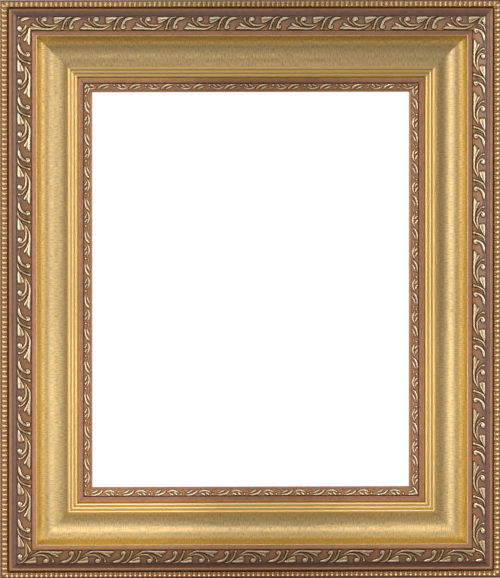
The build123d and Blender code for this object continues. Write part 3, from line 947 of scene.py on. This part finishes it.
def toned_bronze(name):
    """Bronze powder on the fillets and flats, with plum in the hollow and umber in the grooves, and deep gold
    painted as light over the shadowed gap at the slip's outer edge.
    """
    tone, finish = colours(), Finish(name)
    # The deep gold at the moulding's inner wall and the slip's outer edge is painted light over the shadow of
    # the gap between them
    base = finish.across_ramp(
        (RIBS.inner, tone.groove), (FILLET_AT, tone.groove), (FILLET_AT + 0.6 * mm, tone.bronze),
        (HOLLOW_AT - 0.6 * mm, tone.bronze), (HOLLOW_AT + 0.6 * mm, tone.plum),
        (SCROLLS.outer - 0.8 * mm, tone.plum), (SCROLLS.outer, tone.umber), (SCROLLS.inner, tone.groove),
        (FLAT_AT, tone.groove), (FLAT_AT + 0.5 * mm, tone.bronze), (LIP_AT, tone.bronze),
        (MOULDING.inner, tone.deep_gold), (MOULDING.inner + 0.8 * mm, tone.deep_gold),
        (MOULDING.inner + 2.0 * mm, tone.bronze), (SIGHT.outer - SLIP_LINE_WIDTH, tone.brown),
        (SIGHT.outer - SLIP_LINE_WIDTH / 2, tone.umber), (SIGHT.outer, tone.umber),
        (SIGHT.inner, tone.umber), (SIGHT.inner + 0.6 * mm, tone.bronze), (SLIP.inner, tone.bronze))
    toned = finish.toned(base, Recess=0.12, Amount=0.5, Mottle=0.28)
    pits = finish.group("Specks", Size=1.5 * mm, Amount=0.2)["Mask"]
    pitted = finish.dirtied(finish.times(pits, BRONZE_PIT_SHARE), toned["Colour"])
    return finish.done(finish.times(pits, -1.0), 0.05 * mm, {
        "Base Color": finish.stained(pitted), "Metallic": 0.45,
        "Roughness": finish.spread(toned["Wash and shade mask"], 0.0, 1.0, 0.42, 0.75)})


def painted_edge(name):
    """Brown paint with a clouded wash: the outer side, the seat of the ribs and the opening's edge."""
    finish = Finish(name)
    toned = finish.toned(colours().edge, Recess=0.3, Amount=0.6, Mottle=0.5)
    return finish.done(toned["Wash and shade mask"], 0.04 * mm, {
        "Base Color": toned["Colour"], "Metallic": 0.15, "Roughness": 0.6})


def raised_gilding(name, reach, grounds, golds, bright_at, cover, metallic, wash):
    """Gold on raised ornament over a toned ground that changes across the band.

    The gold comes in over the ground between the two heights of cover, and grows bright between
    GOLD_RISE and bright_at, all in shares of the relief: a painted highlight on the tops, as well as rubbed
    gilding. The umber wash in the creases is painted shade as well as patina."""
    finish = Finish(name)
    across = finish.spread(finish.field("across"), reach.outer, reach.inner)
    relief = finish.field("relief")
    gold = finish.mixed(finish.spread(relief, GOLD_RISE, bright_at), *golds)
    gilded = finish.mixed(finish.spread(relief, *cover), finish.mixed(across, *grounds), gold)
    toned = finish.toned(gilded, Recess=finish.field("recess"), Amount=wash, Mottle=0.25)
    pits = finish.group("Specks", Size=0.9 * mm, Amount=0.25)["Mask"]
    return finish.done(finish.times(pits, -1.0), 0.04 * mm, {
        "Base Color": toned["Colour"], "Specular IOR Level": 0.2, "Coat Weight": 0.2,
        "Coat Roughness": 0.22, "Metallic": finish.spread(relief, *cover, GROUND_METAL, metallic),
        "Roughness": finish.spread(toned["Wash and shade mask"], 0.0, 0.6, 0.24, 0.65)})


def gilded_ribs(name):
    tone = colours()
    return raised_gilding(name, RIBS, (tone.ground, tone.ground), (tone.old_gold, tone.rib_gold),
                          bright_at=1.2, cover=(0.0, 0.3), metallic=0.75, wash=0.2)


def gilded_scrolls(name):
    tone = colours()
    return raised_gilding(name, SCROLLS, (tone.plum, tone.ground), (tone.old_gold, tone.pale_gold),
                          bright_at=0.75, cover=(0.15, 0.5), metallic=0.75, wash=1.0)


def gilded_leaves(name):
    tone = colours()
    return raised_gilding(name, SIGHT, (tone.ground, tone.bronze), (tone.old_gold, tone.pale_gold),
                          bright_at=0.75, cover=(0.1, 0.4), metallic=0.7, wash=0.7)


def bare_wood(name):
    """Sawn wood with its grain along the rail."""
    tone, finish = colours(), Finish(name)
    rail = finish.parts(finish.field("rail", "Vector"))
    ring_place = finish.vector(finish.times(rail[0], 4.0), finish.times(rail[1], 90.0))
    rings = finish.noise(ring_place, Scale=1.6, Detail=5.0, Distortion=0.6)
    pore_place = finish.vector(finish.times(rail[0], 60.0), finish.times(rail[1], 1400.0))
    pores = finish.noise(pore_place, Scale=1.0)
    grain = finish.mixed(finish.spread(rings, 0.35, 0.65), tone.wood, tone.wood_dark)
    porous = finish.mixed(finish.spread(pores, 0.55, 0.75, 0.0, 0.3), grain, darker(tone.wood_dark, 0.55))
    return finish.done(pores, 0.06 * mm, {
        "Base Color": porous, "Specular IOR Level": 0.3, "Roughness": finish.varied(pores, 0.65, 0.85)})


def plated_steel(name, rough):
    """Plated steel with fine scratches and dulled patches."""
    steel, finish = colours().steel, Finish(name)
    place = finish.place()
    cloud = finish.noise(place, Scale=220.0, Detail=4.0)
    dulled = finish.mixed(finish.spread(cloud, 0.35, 0.7, 0.0, 0.45), steel, darker(steel, 0.6))
    stretched = finish.add("ShaderNodeMapping", {"Vector": place, "Scale": (400.0, 400.0, 5000.0)})
    scratches = finish.noise(stretched.outputs[0], Scale=1.0)
    return finish.done(scratches, 0.01 * mm, {
        "Base Color": dulled, "Metallic": 1.0, "Roughness": finish.varied(cloud, rough, rough + 0.18)})


def brown_felt(name):
    """Pressed felt with short fibres."""
    tone, finish = colours(), Finish(name)
    fibres = finish.noise(finish.place(), Scale=2600.0, Detail=3.0, Distortion=1.5)
    shaded = finish.mixed(finish.spread(fibres, 0.35, 0.65), tone.felt, darker(tone.felt, 0.55))
    return finish.done(fibres, 0.15 * mm, {
        "Base Color": shaded, "Specular IOR Level": 0.2, "Roughness": 0.95})


FINISHES = {
    "bare_wood": bare_wood,
    "painted_edge": painted_edge,
    "toned_bronze": toned_bronze,
    "gilded_cove": gilded_cove,
    "gilded_ribs": gilded_ribs,
    "gilded_scrolls": gilded_scrolls,
    "gilded_leaves": gilded_leaves,
    "plated_nails": lambda name: plated_steel(name, rough=0.35),
    "plated_buttons": lambda name: plated_steel(name, rough=0.4),
    "plated_hangers": lambda name: plated_steel(name, rough=0.25),
    "brown_felt": brown_felt,
}


def finish_named(name):
    """The material of that name: the CAD's own, or one made the first time it is asked for."""
    return bpy.data.materials.get(name) or FINISHES[name](name)


# Fittings on the back


def bevelled(piece, width, segments=2):
    modifier = piece.modifiers.new("arris", "BEVEL")
    modifier.width = width
    modifier.segments = segments
    modifier.limit_method = "ANGLE"
    modifier.angle_limit = BEVEL_TURN


def rounded(x, z, half_x, half_z, squareness, start=0.0):
    """Points round an oblong with rounded corners, or round an ellipse if its squareness is 2.

    start turns the first point on by a share of a step."""
    points = []
    for side in range(ROUND_SIDES):
        turn = 2 * math.pi * (side + start) / ROUND_SIDES
        to_x, to_z = math.cos(turn), math.sin(turn)
        out = (abs(to_x) ** squareness + abs(to_z) ** squareness) ** (-1 / squareness)
        points.append((x + half_x * to_x * out, z + half_z * to_z * out))
    return points


def stacked(loops, closed=False):
    """The shape through (outline, y) loops, each outline of (x, z) points."""
    vertices = [(x, y, z) for outline, y in loops for x, z in outline]
    return vertices, ring_faces(len(loops), len(loops[0][0]), closed)


def joined(shapes):
    """One shape from several, in order."""
    vertices, faces = [], []
    for more_vertices, more_faces in shapes:
        faces.extend([index + len(vertices) for index in face] for face in more_faces)
        vertices.extend(more_vertices)
    return vertices, faces


def cross_depth(x, z):
    """How deep the cross recess of a screw is at a place on its head."""
    narrow, wide = sorted((abs(x), abs(z)))
    wall = np.clip((CROSS_HALF - narrow) / (CROSS_HALF * CROSS_WALL) + 1, 0, 1)
    end = np.clip((CROSS_REACH - wide) / (CROSS_REACH * CROSS_END), 0, 1)
    return CROSS_DEPTH * (wall * end)


def pan_screw(seat):
    """A pan-head screw with a cross recess, its head bearing on its seat and its shank to the front."""
    rings = [(SCREW_RADIUS * SCREW_POINT, -SCREW_LENGTH), (SCREW_RADIUS, 2 * SCREW_RADIUS - SCREW_LENGTH),
             (SCREW_RADIUS, 0.0), (HEAD_RADIUS, 0.0), (HEAD_RADIUS, HEAD_HEIGHT * HEAD_WALL)]
    for turn in np.linspace(0, 1, HEAD_ROWS)[1:-1] * math.pi / 2:
        rings.append((HEAD_RADIUS * math.cos(turn) ** HEAD_ROUNDNESS,
                      HEAD_HEIGHT * (HEAD_WALL + (1 - HEAD_WALL) * math.sin(turn))))
    rings.append((HEAD_RADIUS * HEAD_TOP, HEAD_HEIGHT))
    vertices = []
    for radius, rise in rings:
        for side in range(ROUND_SIDES):
            turn = 2 * math.pi * side / ROUND_SIDES
            x, z = radius * math.cos(turn), radius * math.sin(turn)
            depth = cross_depth(x, z) if rise > HEAD_HEIGHT / 2 else 0.0
            vertices.append((seat[0] + x, seat[1] + rise - depth, seat[2] + z))
    return vertices, ring_faces(len(rings), ROUND_SIDES)


def brass_screws(name, node, seats):
    """All the screws of one node as one piece, in the CAD's own brass."""
    make_piece(name, node, joined([pan_screw(seat) for seat in seats]), ["screw_brass"])


def mitre_nails(corner):
    """Three V nails driven from the back across one mitre."""
    vertical, side = corner.split("_")
    to_side, up = (1 if side == "right" else -1), (1 if vertical == "top" else -1)
    section = [(0, 0), (NAIL_LEG, 0), (NAIL_LEG, NAIL_GAUGE), (NAIL_GAUGE, NAIL_GAUGE),
               (NAIL_GAUGE, NAIL_LEG), (0, NAIL_LEG)]
    nails = []
    for place in NAIL_PLACES:
        x, z = to_side * (HALF_WIDTH - place), up * (HALF_HEIGHT - place)
        outline = [(x - to_side * a, z - up * b) for a, b in section]
        nails.append(stacked([(outline, -NAIL_DEPTH), (outline, NAIL_PROUD)]))
    piece = make_piece(f"v_nails_{corner}", f"mitre_nails_{corner}", joined(nails),
                       ["plated_nails"])
    bevelled(piece, NAIL_BEVEL, segments=1)


def turn_button(name):
    """An oblong plate with rounded corners; gives back the seat of the screw that it turns on."""
    node = f"turn_button_{name}"
    low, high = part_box(node)
    x, z = (low.x + high.x) / 2, (low.z + high.z) / 2
    pivot_z = low.z + BUTTON_PIVOT
    outline = rounded(x, z, (high.x - low.x) / 2, (high.z - low.z) / 2, BUTTON_SQUARENESS, start=0.5)
    hole = rounded(x, pivot_z, BUTTON_HOLE, BUTTON_HOLE, squareness=2, start=0.5)
    shape = stacked([(outline, low.y), (outline, high.y), (hole, high.y), (hole, low.y)], closed=True)
    piece = make_piece(f"button_{name}", node, shape, ["plated_buttons"], body=node)
    bevelled(piece, FITTING_BEVEL)
    return x, high.y + BUTTON_PLAY, pivot_z


def unit(steps):
    """Two-part steps brought to a length of 1."""
    return steps / np.hypot(steps[:, 0], steps[:, 1])[:, None]


def hanger_pivot(side):
    """The middle of the ring's straight bar, inside the rolled eye."""
    low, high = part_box(f"hanger_strap_{side}")
    return Vector(((low.x + high.x) / 2, (low.y + high.y) / 2, low.z + STRAP_PIVOT))


def hanger_strap(side):
    """A strap of plate: flat on the wood below, and rolled round the ring's bar above."""
    node = f"hanger_strap_{side}"
    low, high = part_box(node)
    pivot = hanger_pivot(side)
    roll = WIRE_RADIUS + EYE_PLAY + STRAP_GAUGE / 2
    path = [(STRAP_GAUGE / 2, z) for z in np.linspace(low.z, pivot.z, STRAP_STEPS)]
    path += [(pivot.y - roll * math.cos(turn), pivot.z + roll * math.sin(turn))
             for turn in np.linspace(0, STRAP_ROLL, ROLL_STEPS)[1:]]
    tangent = unit(np.gradient(np.array(path), axis=0))
    half = (high.x - low.x) / 2
    vertices = []
    for (y, z), (run_y, run_z) in zip(path, tangent):
        trim = max(0.0, STRAP_CORNER - (z - low.z)) if y < STRAP_GAUGE else 0.0
        for x_way, way in ((-1, -1), (1, -1), (1, 1), (-1, 1)):
            off = way * STRAP_GAUGE / 2
            vertices.append((pivot.x + x_way * (half - trim), y - off * run_z, z + off * run_y))
    piece = make_piece(f"strap_{side}", node, (vertices, ring_faces(len(path), 4)),
                       ["plated_hangers"])
    bevelled(piece, STRAP_BEVEL)


def hanger_ring(side):
    """A ring of round wire shaped like a D, with its straight bar in the strap's eye."""
    node = f"hanger_ring_{side}"
    low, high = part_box(node)
    pivot = hanger_pivot(side)
    half = (high.x - low.x) / 2 - WIRE_RADIUS
    leg = high.z - low.z - 2 * WIRE_RADIUS - half
    inner, corner = half - WIRE_CORNER, WIRE_CORNER
    bends = [(math.sin(turn), math.cos(turn)) for turn in np.linspace(0, math.pi / 2, BEND_STEPS)[1:]]
    bow = [(math.cos(turn), math.sin(turn)) for turn in np.linspace(0, math.pi, BOW_STEPS)[1:]]
    path = [(x, 0.0) for x in np.linspace(-inner, inner, BEND_STEPS)]
    path += [(inner + corner * sine, -corner + corner * cosine) for sine, cosine in bends]
    path += [(half, -z) for z in np.linspace(corner, leg, LEG_STEPS)[1:]]
    path += [(half * cosine, -leg - half * sine) for cosine, sine in bow]
    path += [(-half, -z) for z in np.linspace(leg, corner, LEG_STEPS)[1:]]
    path += [(-inner - corner * cosine, -corner + corner * sine) for sine, cosine in bends[:-1]]
    path = np.array(path)
    tangent = unit(np.roll(path, -1, 0) - np.roll(path, 1, 0))
    vertices = []
    for (x, z), (run_x, run_z) in zip(path, tangent):
        for turn in np.linspace(0, 2 * math.pi, WIRE_SIDES, endpoint=False):
            out = WIRE_RADIUS * math.cos(turn)
            vertices.append((pivot.x + x - run_z * out, pivot.y + WIRE_RADIUS * math.sin(turn),
                             pivot.z + z + run_x * out))
    shape = vertices, ring_faces(len(path), WIRE_SIDES, closed=True)
    make_piece(f"ring_{side}", node, shape, ["plated_hangers"], body=node)


def felt_bumpers():
    """Two square pads of felt with softened edges."""
    low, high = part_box("wall_bumpers")
    size, thick = high.z - low.z, high.y - low.y
    z = (low.z + high.z) / 2
    pads = []
    for x in (low.x + size / 2, high.x - size / 2):
        loops = []
        for rise, scale in FELT_PROFILE:
            half = scale * size / 2
            loops.append((rounded(x, z, half, half, FELT_SQUARENESS), low.y + rise * thick))
        pads.append(stacked(loops))
    make_piece("felt_bumpers", "wall_bumpers", joined(pads), ["brown_felt"])


# Stage

WHITE = (1, 1, 1)
FLOOR_COLOUR = (0.86, 0.86, 0.86)
SHADOW_NEAR = 0.7
SHADOW_FAR = 2.2
SHADOW_GLOW = 0.45
ROOM_BELOW = 0.8
ROOM_ABOVE = 1.2
LAMP_DISTANCE = 2.0
BACK_LIGHT_HEIGHT = 25


def seen(nodes, behind):
    """1 for what the camera sees straight, and a mask's value for what metal or glass shows."""
    ray = nodes.add("ShaderNodeLightPath").outputs
    shown = nodes.maths("MAXIMUM", ray["Is Glossy Ray"], ray["Is Transmission Ray"])
    return nodes.maths("MAXIMUM", nodes.times(shown, behind), ray["Is Camera Ray"])


def studio_world():
    """A white backdrop behind the frame, and a dimmer room in front of it."""
    world = bpy.data.worlds.new("pale_room")
    world.use_nodes = True
    world.node_tree.nodes.clear()
    nodes = Nodes(world.node_tree)
    way = nodes.parts(nodes.place("Generated"))
    white = seen(nodes, nodes.spread(way[1], 0.0, 0.4))
    room = nodes.times(nodes.spread(way[2], -0.7, 0.7, ROOM_BELOW, ROOM_ABOVE), studio().room)
    strength = nodes.add("ShaderNodeMix", {0: white, 2: room, 3: 1.0}).outputs[0]
    background = nodes.add("ShaderNodeBackground", {"Color": WHITE, "Strength": strength})
    nodes.add("ShaderNodeOutputWorld", {"Surface": background.outputs[0]})
    bpy.context.scene.world = world


def floor_material():
    """A pale floor that keeps the frame's shadow near it and runs to plain white further off."""
    material = bpy.data.materials.new("pale_floor")
    material.use_nodes = True
    material.node_tree.nodes.clear()
    nodes = Nodes(material.node_tree)
    surface = nodes.add("ShaderNodeBsdfDiffuse", {"Color": FLOOR_COLOUR})
    glow = nodes.add("ShaderNodeEmission", {"Color": WHITE, "Strength": 1.0})
    place = nodes.place()
    away = nodes.add("ShaderNodeVectorMath", {0: place}, operation="LENGTH").outputs["Value"]
    white = seen(nodes, nodes.spread(nodes.parts(place)[1], 0.0, 1.0))
    factor = nodes.times(white, nodes.spread(away, SHADOW_NEAR, SHADOW_FAR, SHADOW_GLOW, 1.0))
    blend = nodes.add("ShaderNodeMixShader", {0: factor, 1: surface.outputs[0], 2: glow.outputs[0]})
    nodes.add("ShaderNodeOutputMaterial", {"Surface": blend.outputs[0]})
    return material


def pale_floor():
    """The floor that the frame stands on."""
    half = studio().floor_size / 2
    mesh = bpy.data.meshes.new("pale_floor")
    mesh.from_pydata([(-half, -half, 0), (half, -half, 0), (half, half, 0), (-half, half, 0)], [],
                     [(0, 1, 2, 3)])
    mesh.materials.append(floor_material())
    floor = bpy.data.objects.new("pale_floor", mesh)
    floor.location = (0, 0, CAD_LOW.z)
    bpy.context.scene.collection.objects.link(floor)
    return floor


def softbox(name, place, facing, size, watts, upright=(0, 0, 1)):
    """A rectangular lamp that lights the way it faces and doesn't show itself."""
    light = bpy.data.lights.new(name, "AREA")
    light.shape = "RECTANGLE"
    light.size, light.size_y = size
    light.energy = watts
    lamp = bpy.data.objects.new(name, light)
    back = -Vector(facing).normalized()
    across = Vector(upright).cross(back).normalized()
    turned = Matrix((across, back.cross(across), back)).transposed().to_4x4()
    lamp.matrix_world = Matrix.Translation(place) @ turned
    lamp.visible_camera = False
    bpy.context.scene.collection.objects.link(lamp)
    return lamp


def distant(azimuth, elevation):
    """A place seen from the frame's middle at two angles in degrees, to the right and upward."""
    turn, rise = math.radians(azimuth), math.radians(elevation)
    flat = math.cos(rise)
    return Vector((math.sin(turn) * flat, -math.cos(turn) * flat, math.sin(rise))) * LAMP_DISTANCE


def kept_dark(name, pieces):
    """A collection that keeps a lamp off some pieces."""
    unlit = bpy.data.collections.new(name)
    for piece in pieces:
        unlit.objects.link(piece)
    for member in unlit.collection_objects:
        member.light_linking.link_state = "EXCLUDE"
    return unlit


def studio_lamps(floor):
    """Three panels before the opening, one for each rail but the top one, and six lights farther off."""
    settings = studio()
    off_floor = kept_dark("off_floor", [floor])
    off_floor_and_top = kept_dark("off_floor_and_top", [floor, bpy.data.objects["rail_top"]])
    left, right, down, forward = (-1, 0, 0), (1, 0, 0), (0, 0, -1), (0, 1, 0)
    for panel in (
            softbox("left_panel", (-0.04, -0.50, 0), left, (0.50, 0.9), settings.left_panel),
            softbox("right_panel", (0.07, -0.62, 0), right, (0.28, 0.9), settings.right_panel),
            softbox("low_panel", (0, -0.60, -0.02), down, (0.9, 0.5), settings.low_panel, forward)):
        panel.light_linking.receiver_collection = off_floor_and_top
    for name, place, size, watts in (
            ("left_light", distant(-22, 12), 1.0, settings.left_power),
            ("left_side_light", distant(-85, 10), 1.0, settings.left_side_power),
            ("right_side_light", distant(80, 10), 1.0, settings.right_side_power),
            ("top_light", distant(0, 55), 1.2, settings.top_power)):
        softbox(name, place, -place, (size, size), watts)
    for name, azimuth in (("back_left_light", -145), ("back_right_light", 145)):
        place = distant(azimuth, BACK_LIGHT_HEIGHT)
        back_light = softbox(name, place, -place, (1.2, 1.2), settings.back_power)
        back_light.light_linking.receiver_collection = off_floor


def photo_camera():
    """A long lens in front of the frame, a little to its left and above its middle."""
    settings = studio()
    turn, rise = settings.azimuth, settings.elevation
    back = Vector((math.sin(turn) * math.cos(rise), -math.cos(turn) * math.cos(rise), math.sin(rise)))
    data = bpy.data.cameras.new("photo_camera")
    tall = 2 * HALF_HEIGHT * math.cos(rise)
    data.lens = data.sensor_width * settings.distance / tall
    data.clip_end = 3 * settings.distance
    camera = bpy.data.objects.new("photo_camera", data)
    camera.location = back * settings.distance
    camera.rotation_euler = (-back).to_track_quat("-Z", "Y").to_euler()
    bpy.context.scene.collection.objects.link(camera)
    bpy.context.scene.camera = camera


# Operators


class MakeMouldings(bpy.types.Operator):
    """Sweep the moulding's section along the four rails and gild it."""

    bl_idname = "gilded_frame.mouldings"
    bl_label = "Mouldings"

    def execute(self, context):
        sweep_rails("rail", "moulding", moulding_outline())
        return {"FINISHED"}


class MakeSlips(bpy.types.Operator):
    """Sweep the slip that carries the sight edge along the four rails."""

    bl_idname = "gilded_frame.slips"
    bl_label = "Sight slips"

    def execute(self, context):
        sweep_rails("slip", "sight_slip", slip_outline())
        return {"FINISHED"}


class MakeRibs(bpy.types.Operator):
    """Lay the ribbed band along the outer edges."""

    bl_idname = "gilded_frame.ribs"
    bl_label = "Ribbed edge"

    def execute(self, context):
        for rail in RAILS:
            rib_band(rail)
        return {"FINISHED"}


class MakeScrolls(bpy.types.Operator):
    """Lay the running scrolls in their channel on the four rails."""

    bl_idname = "gilded_frame.scrolls"
    bl_label = "Running scrolls"

    def execute(self, context):
        sizes = ornament()
        lay_ornament(RUNNING_SCROLLS, sizes.scroll_pitch_side, sizes.scroll_pitch_across,
                     sizes.scroll_relief)
        return {"FINISHED"}


class MakeLeaves(bpy.types.Operator):
    """Lay the small leaves along the sight edge."""

    bl_idname = "gilded_frame.leaves"
    bl_label = "Sight leaves"

    def execute(self, context):
        sizes = ornament()
        lay_ornament(SIGHT_LEAVES, sizes.sight_pitch_side, sizes.sight_pitch_across, sizes.sight_relief)
        return {"FINISHED"}


class MakeNails(bpy.types.Operator):
    """Drive the V nails across the four mitres."""

    bl_idname = "gilded_frame.nails"
    bl_label = "Mitre nails"

    def execute(self, context):
        for corner in ("top_left", "top_right", "bottom_left", "bottom_right"):
            mitre_nails(corner)
        return {"FINISHED"}


class MakeTurnButtons(bpy.types.Operator):
    """Fit the turn buttons and their screws on the slips."""

    bl_idname = "gilded_frame.turn_buttons"
    bl_label = "Turn buttons"

    def execute(self, context):
        seats = [turn_button(name) for name in ("left_lower", "left_upper", "right_lower", "right_upper")]
        brass_screws("button_screws", "turn_button_screws", seats)
        return {"FINISHED"}


class MakeHangers(bpy.types.Operator):
    """Fit the strap hangers, their rings and their screws."""

    bl_idname = "gilded_frame.hangers"
    bl_label = "Hangers"

    def execute(self, context):
        seats = []
        for side in ("left", "right"):
            hanger_strap(side)
            hanger_ring(side)
            pivot = hanger_pivot(side)
            seats.append((pivot.x, STRAP_GAUGE, pivot.z - STRAP_SCREW))
        brass_screws("strap_screws", "hanger_screws", seats)
        return {"FINISHED"}


class MakeBumpers(bpy.types.Operator):
    """Stick the felt bumpers to the lower corners."""

    bl_idname = "gilded_frame.bumpers"
    bl_label = "Bumpers"

    def execute(self, context):
        felt_bumpers()
        return {"FINISHED"}


class MakeStage(bpy.types.Operator):
    """Set up the floor, the room, the lamps and the camera."""

    bl_idname = "gilded_frame.stage"
    bl_label = "Stage"

    def execute(self, context):
        photo_camera()
        studio_world()
        studio_lamps(pale_floor())
        context.scene.view_settings.view_transform = "Standard"
        return {"FINISHED"}


OPERATORS = (MakeMouldings, MakeSlips, MakeRibs, MakeScrolls, MakeLeaves, MakeNails, MakeTurnButtons,
             MakeHangers, MakeBumpers, MakeStage)


class FramePanel(bpy.types.Panel):
    """Buttons for the frame's pieces, and the settings they use."""

    bl_idname = "VIEW3D_PT_gilded_frame"
    bl_label = "Gilded Frame"
    bl_space_type = "VIEW_3D"
    bl_region_type = "UI"
    bl_category = "Gilded Frame"

    def draw(self, context):
        for operator in OPERATORS:
            self.layout.operator(operator.bl_idname)
        for group in (ornament(), colours(), studio()):
            box = self.layout.box()
            for name in group.bl_rna.properties.keys():
                if name not in ("rna_type", "name"):
                    box.prop(group, name)


SETTINGS = {"frame_ornament": OrnamentSizes, "frame_colours": FinishColours, "frame_studio": StudioSettings}
CLASSES = (*SETTINGS.values(), *OPERATORS, FramePanel)


def register():
    for made in CLASSES:
        bpy.utils.register_class(made)
    for name, group in SETTINGS.items():
        setattr(bpy.types.Scene, name, PointerProperty(type=group))


def unregister():
    for name in SETTINGS:
        delattr(bpy.types.Scene, name)
    for made in reversed(CLASSES):
        bpy.utils.unregister_class(made)


def main():
    register()
    for operator in OPERATORS:
        group, name = operator.bl_idname.split(".")
        getattr(getattr(bpy.ops, group), name)()


if __name__ == "__main__":
    main()
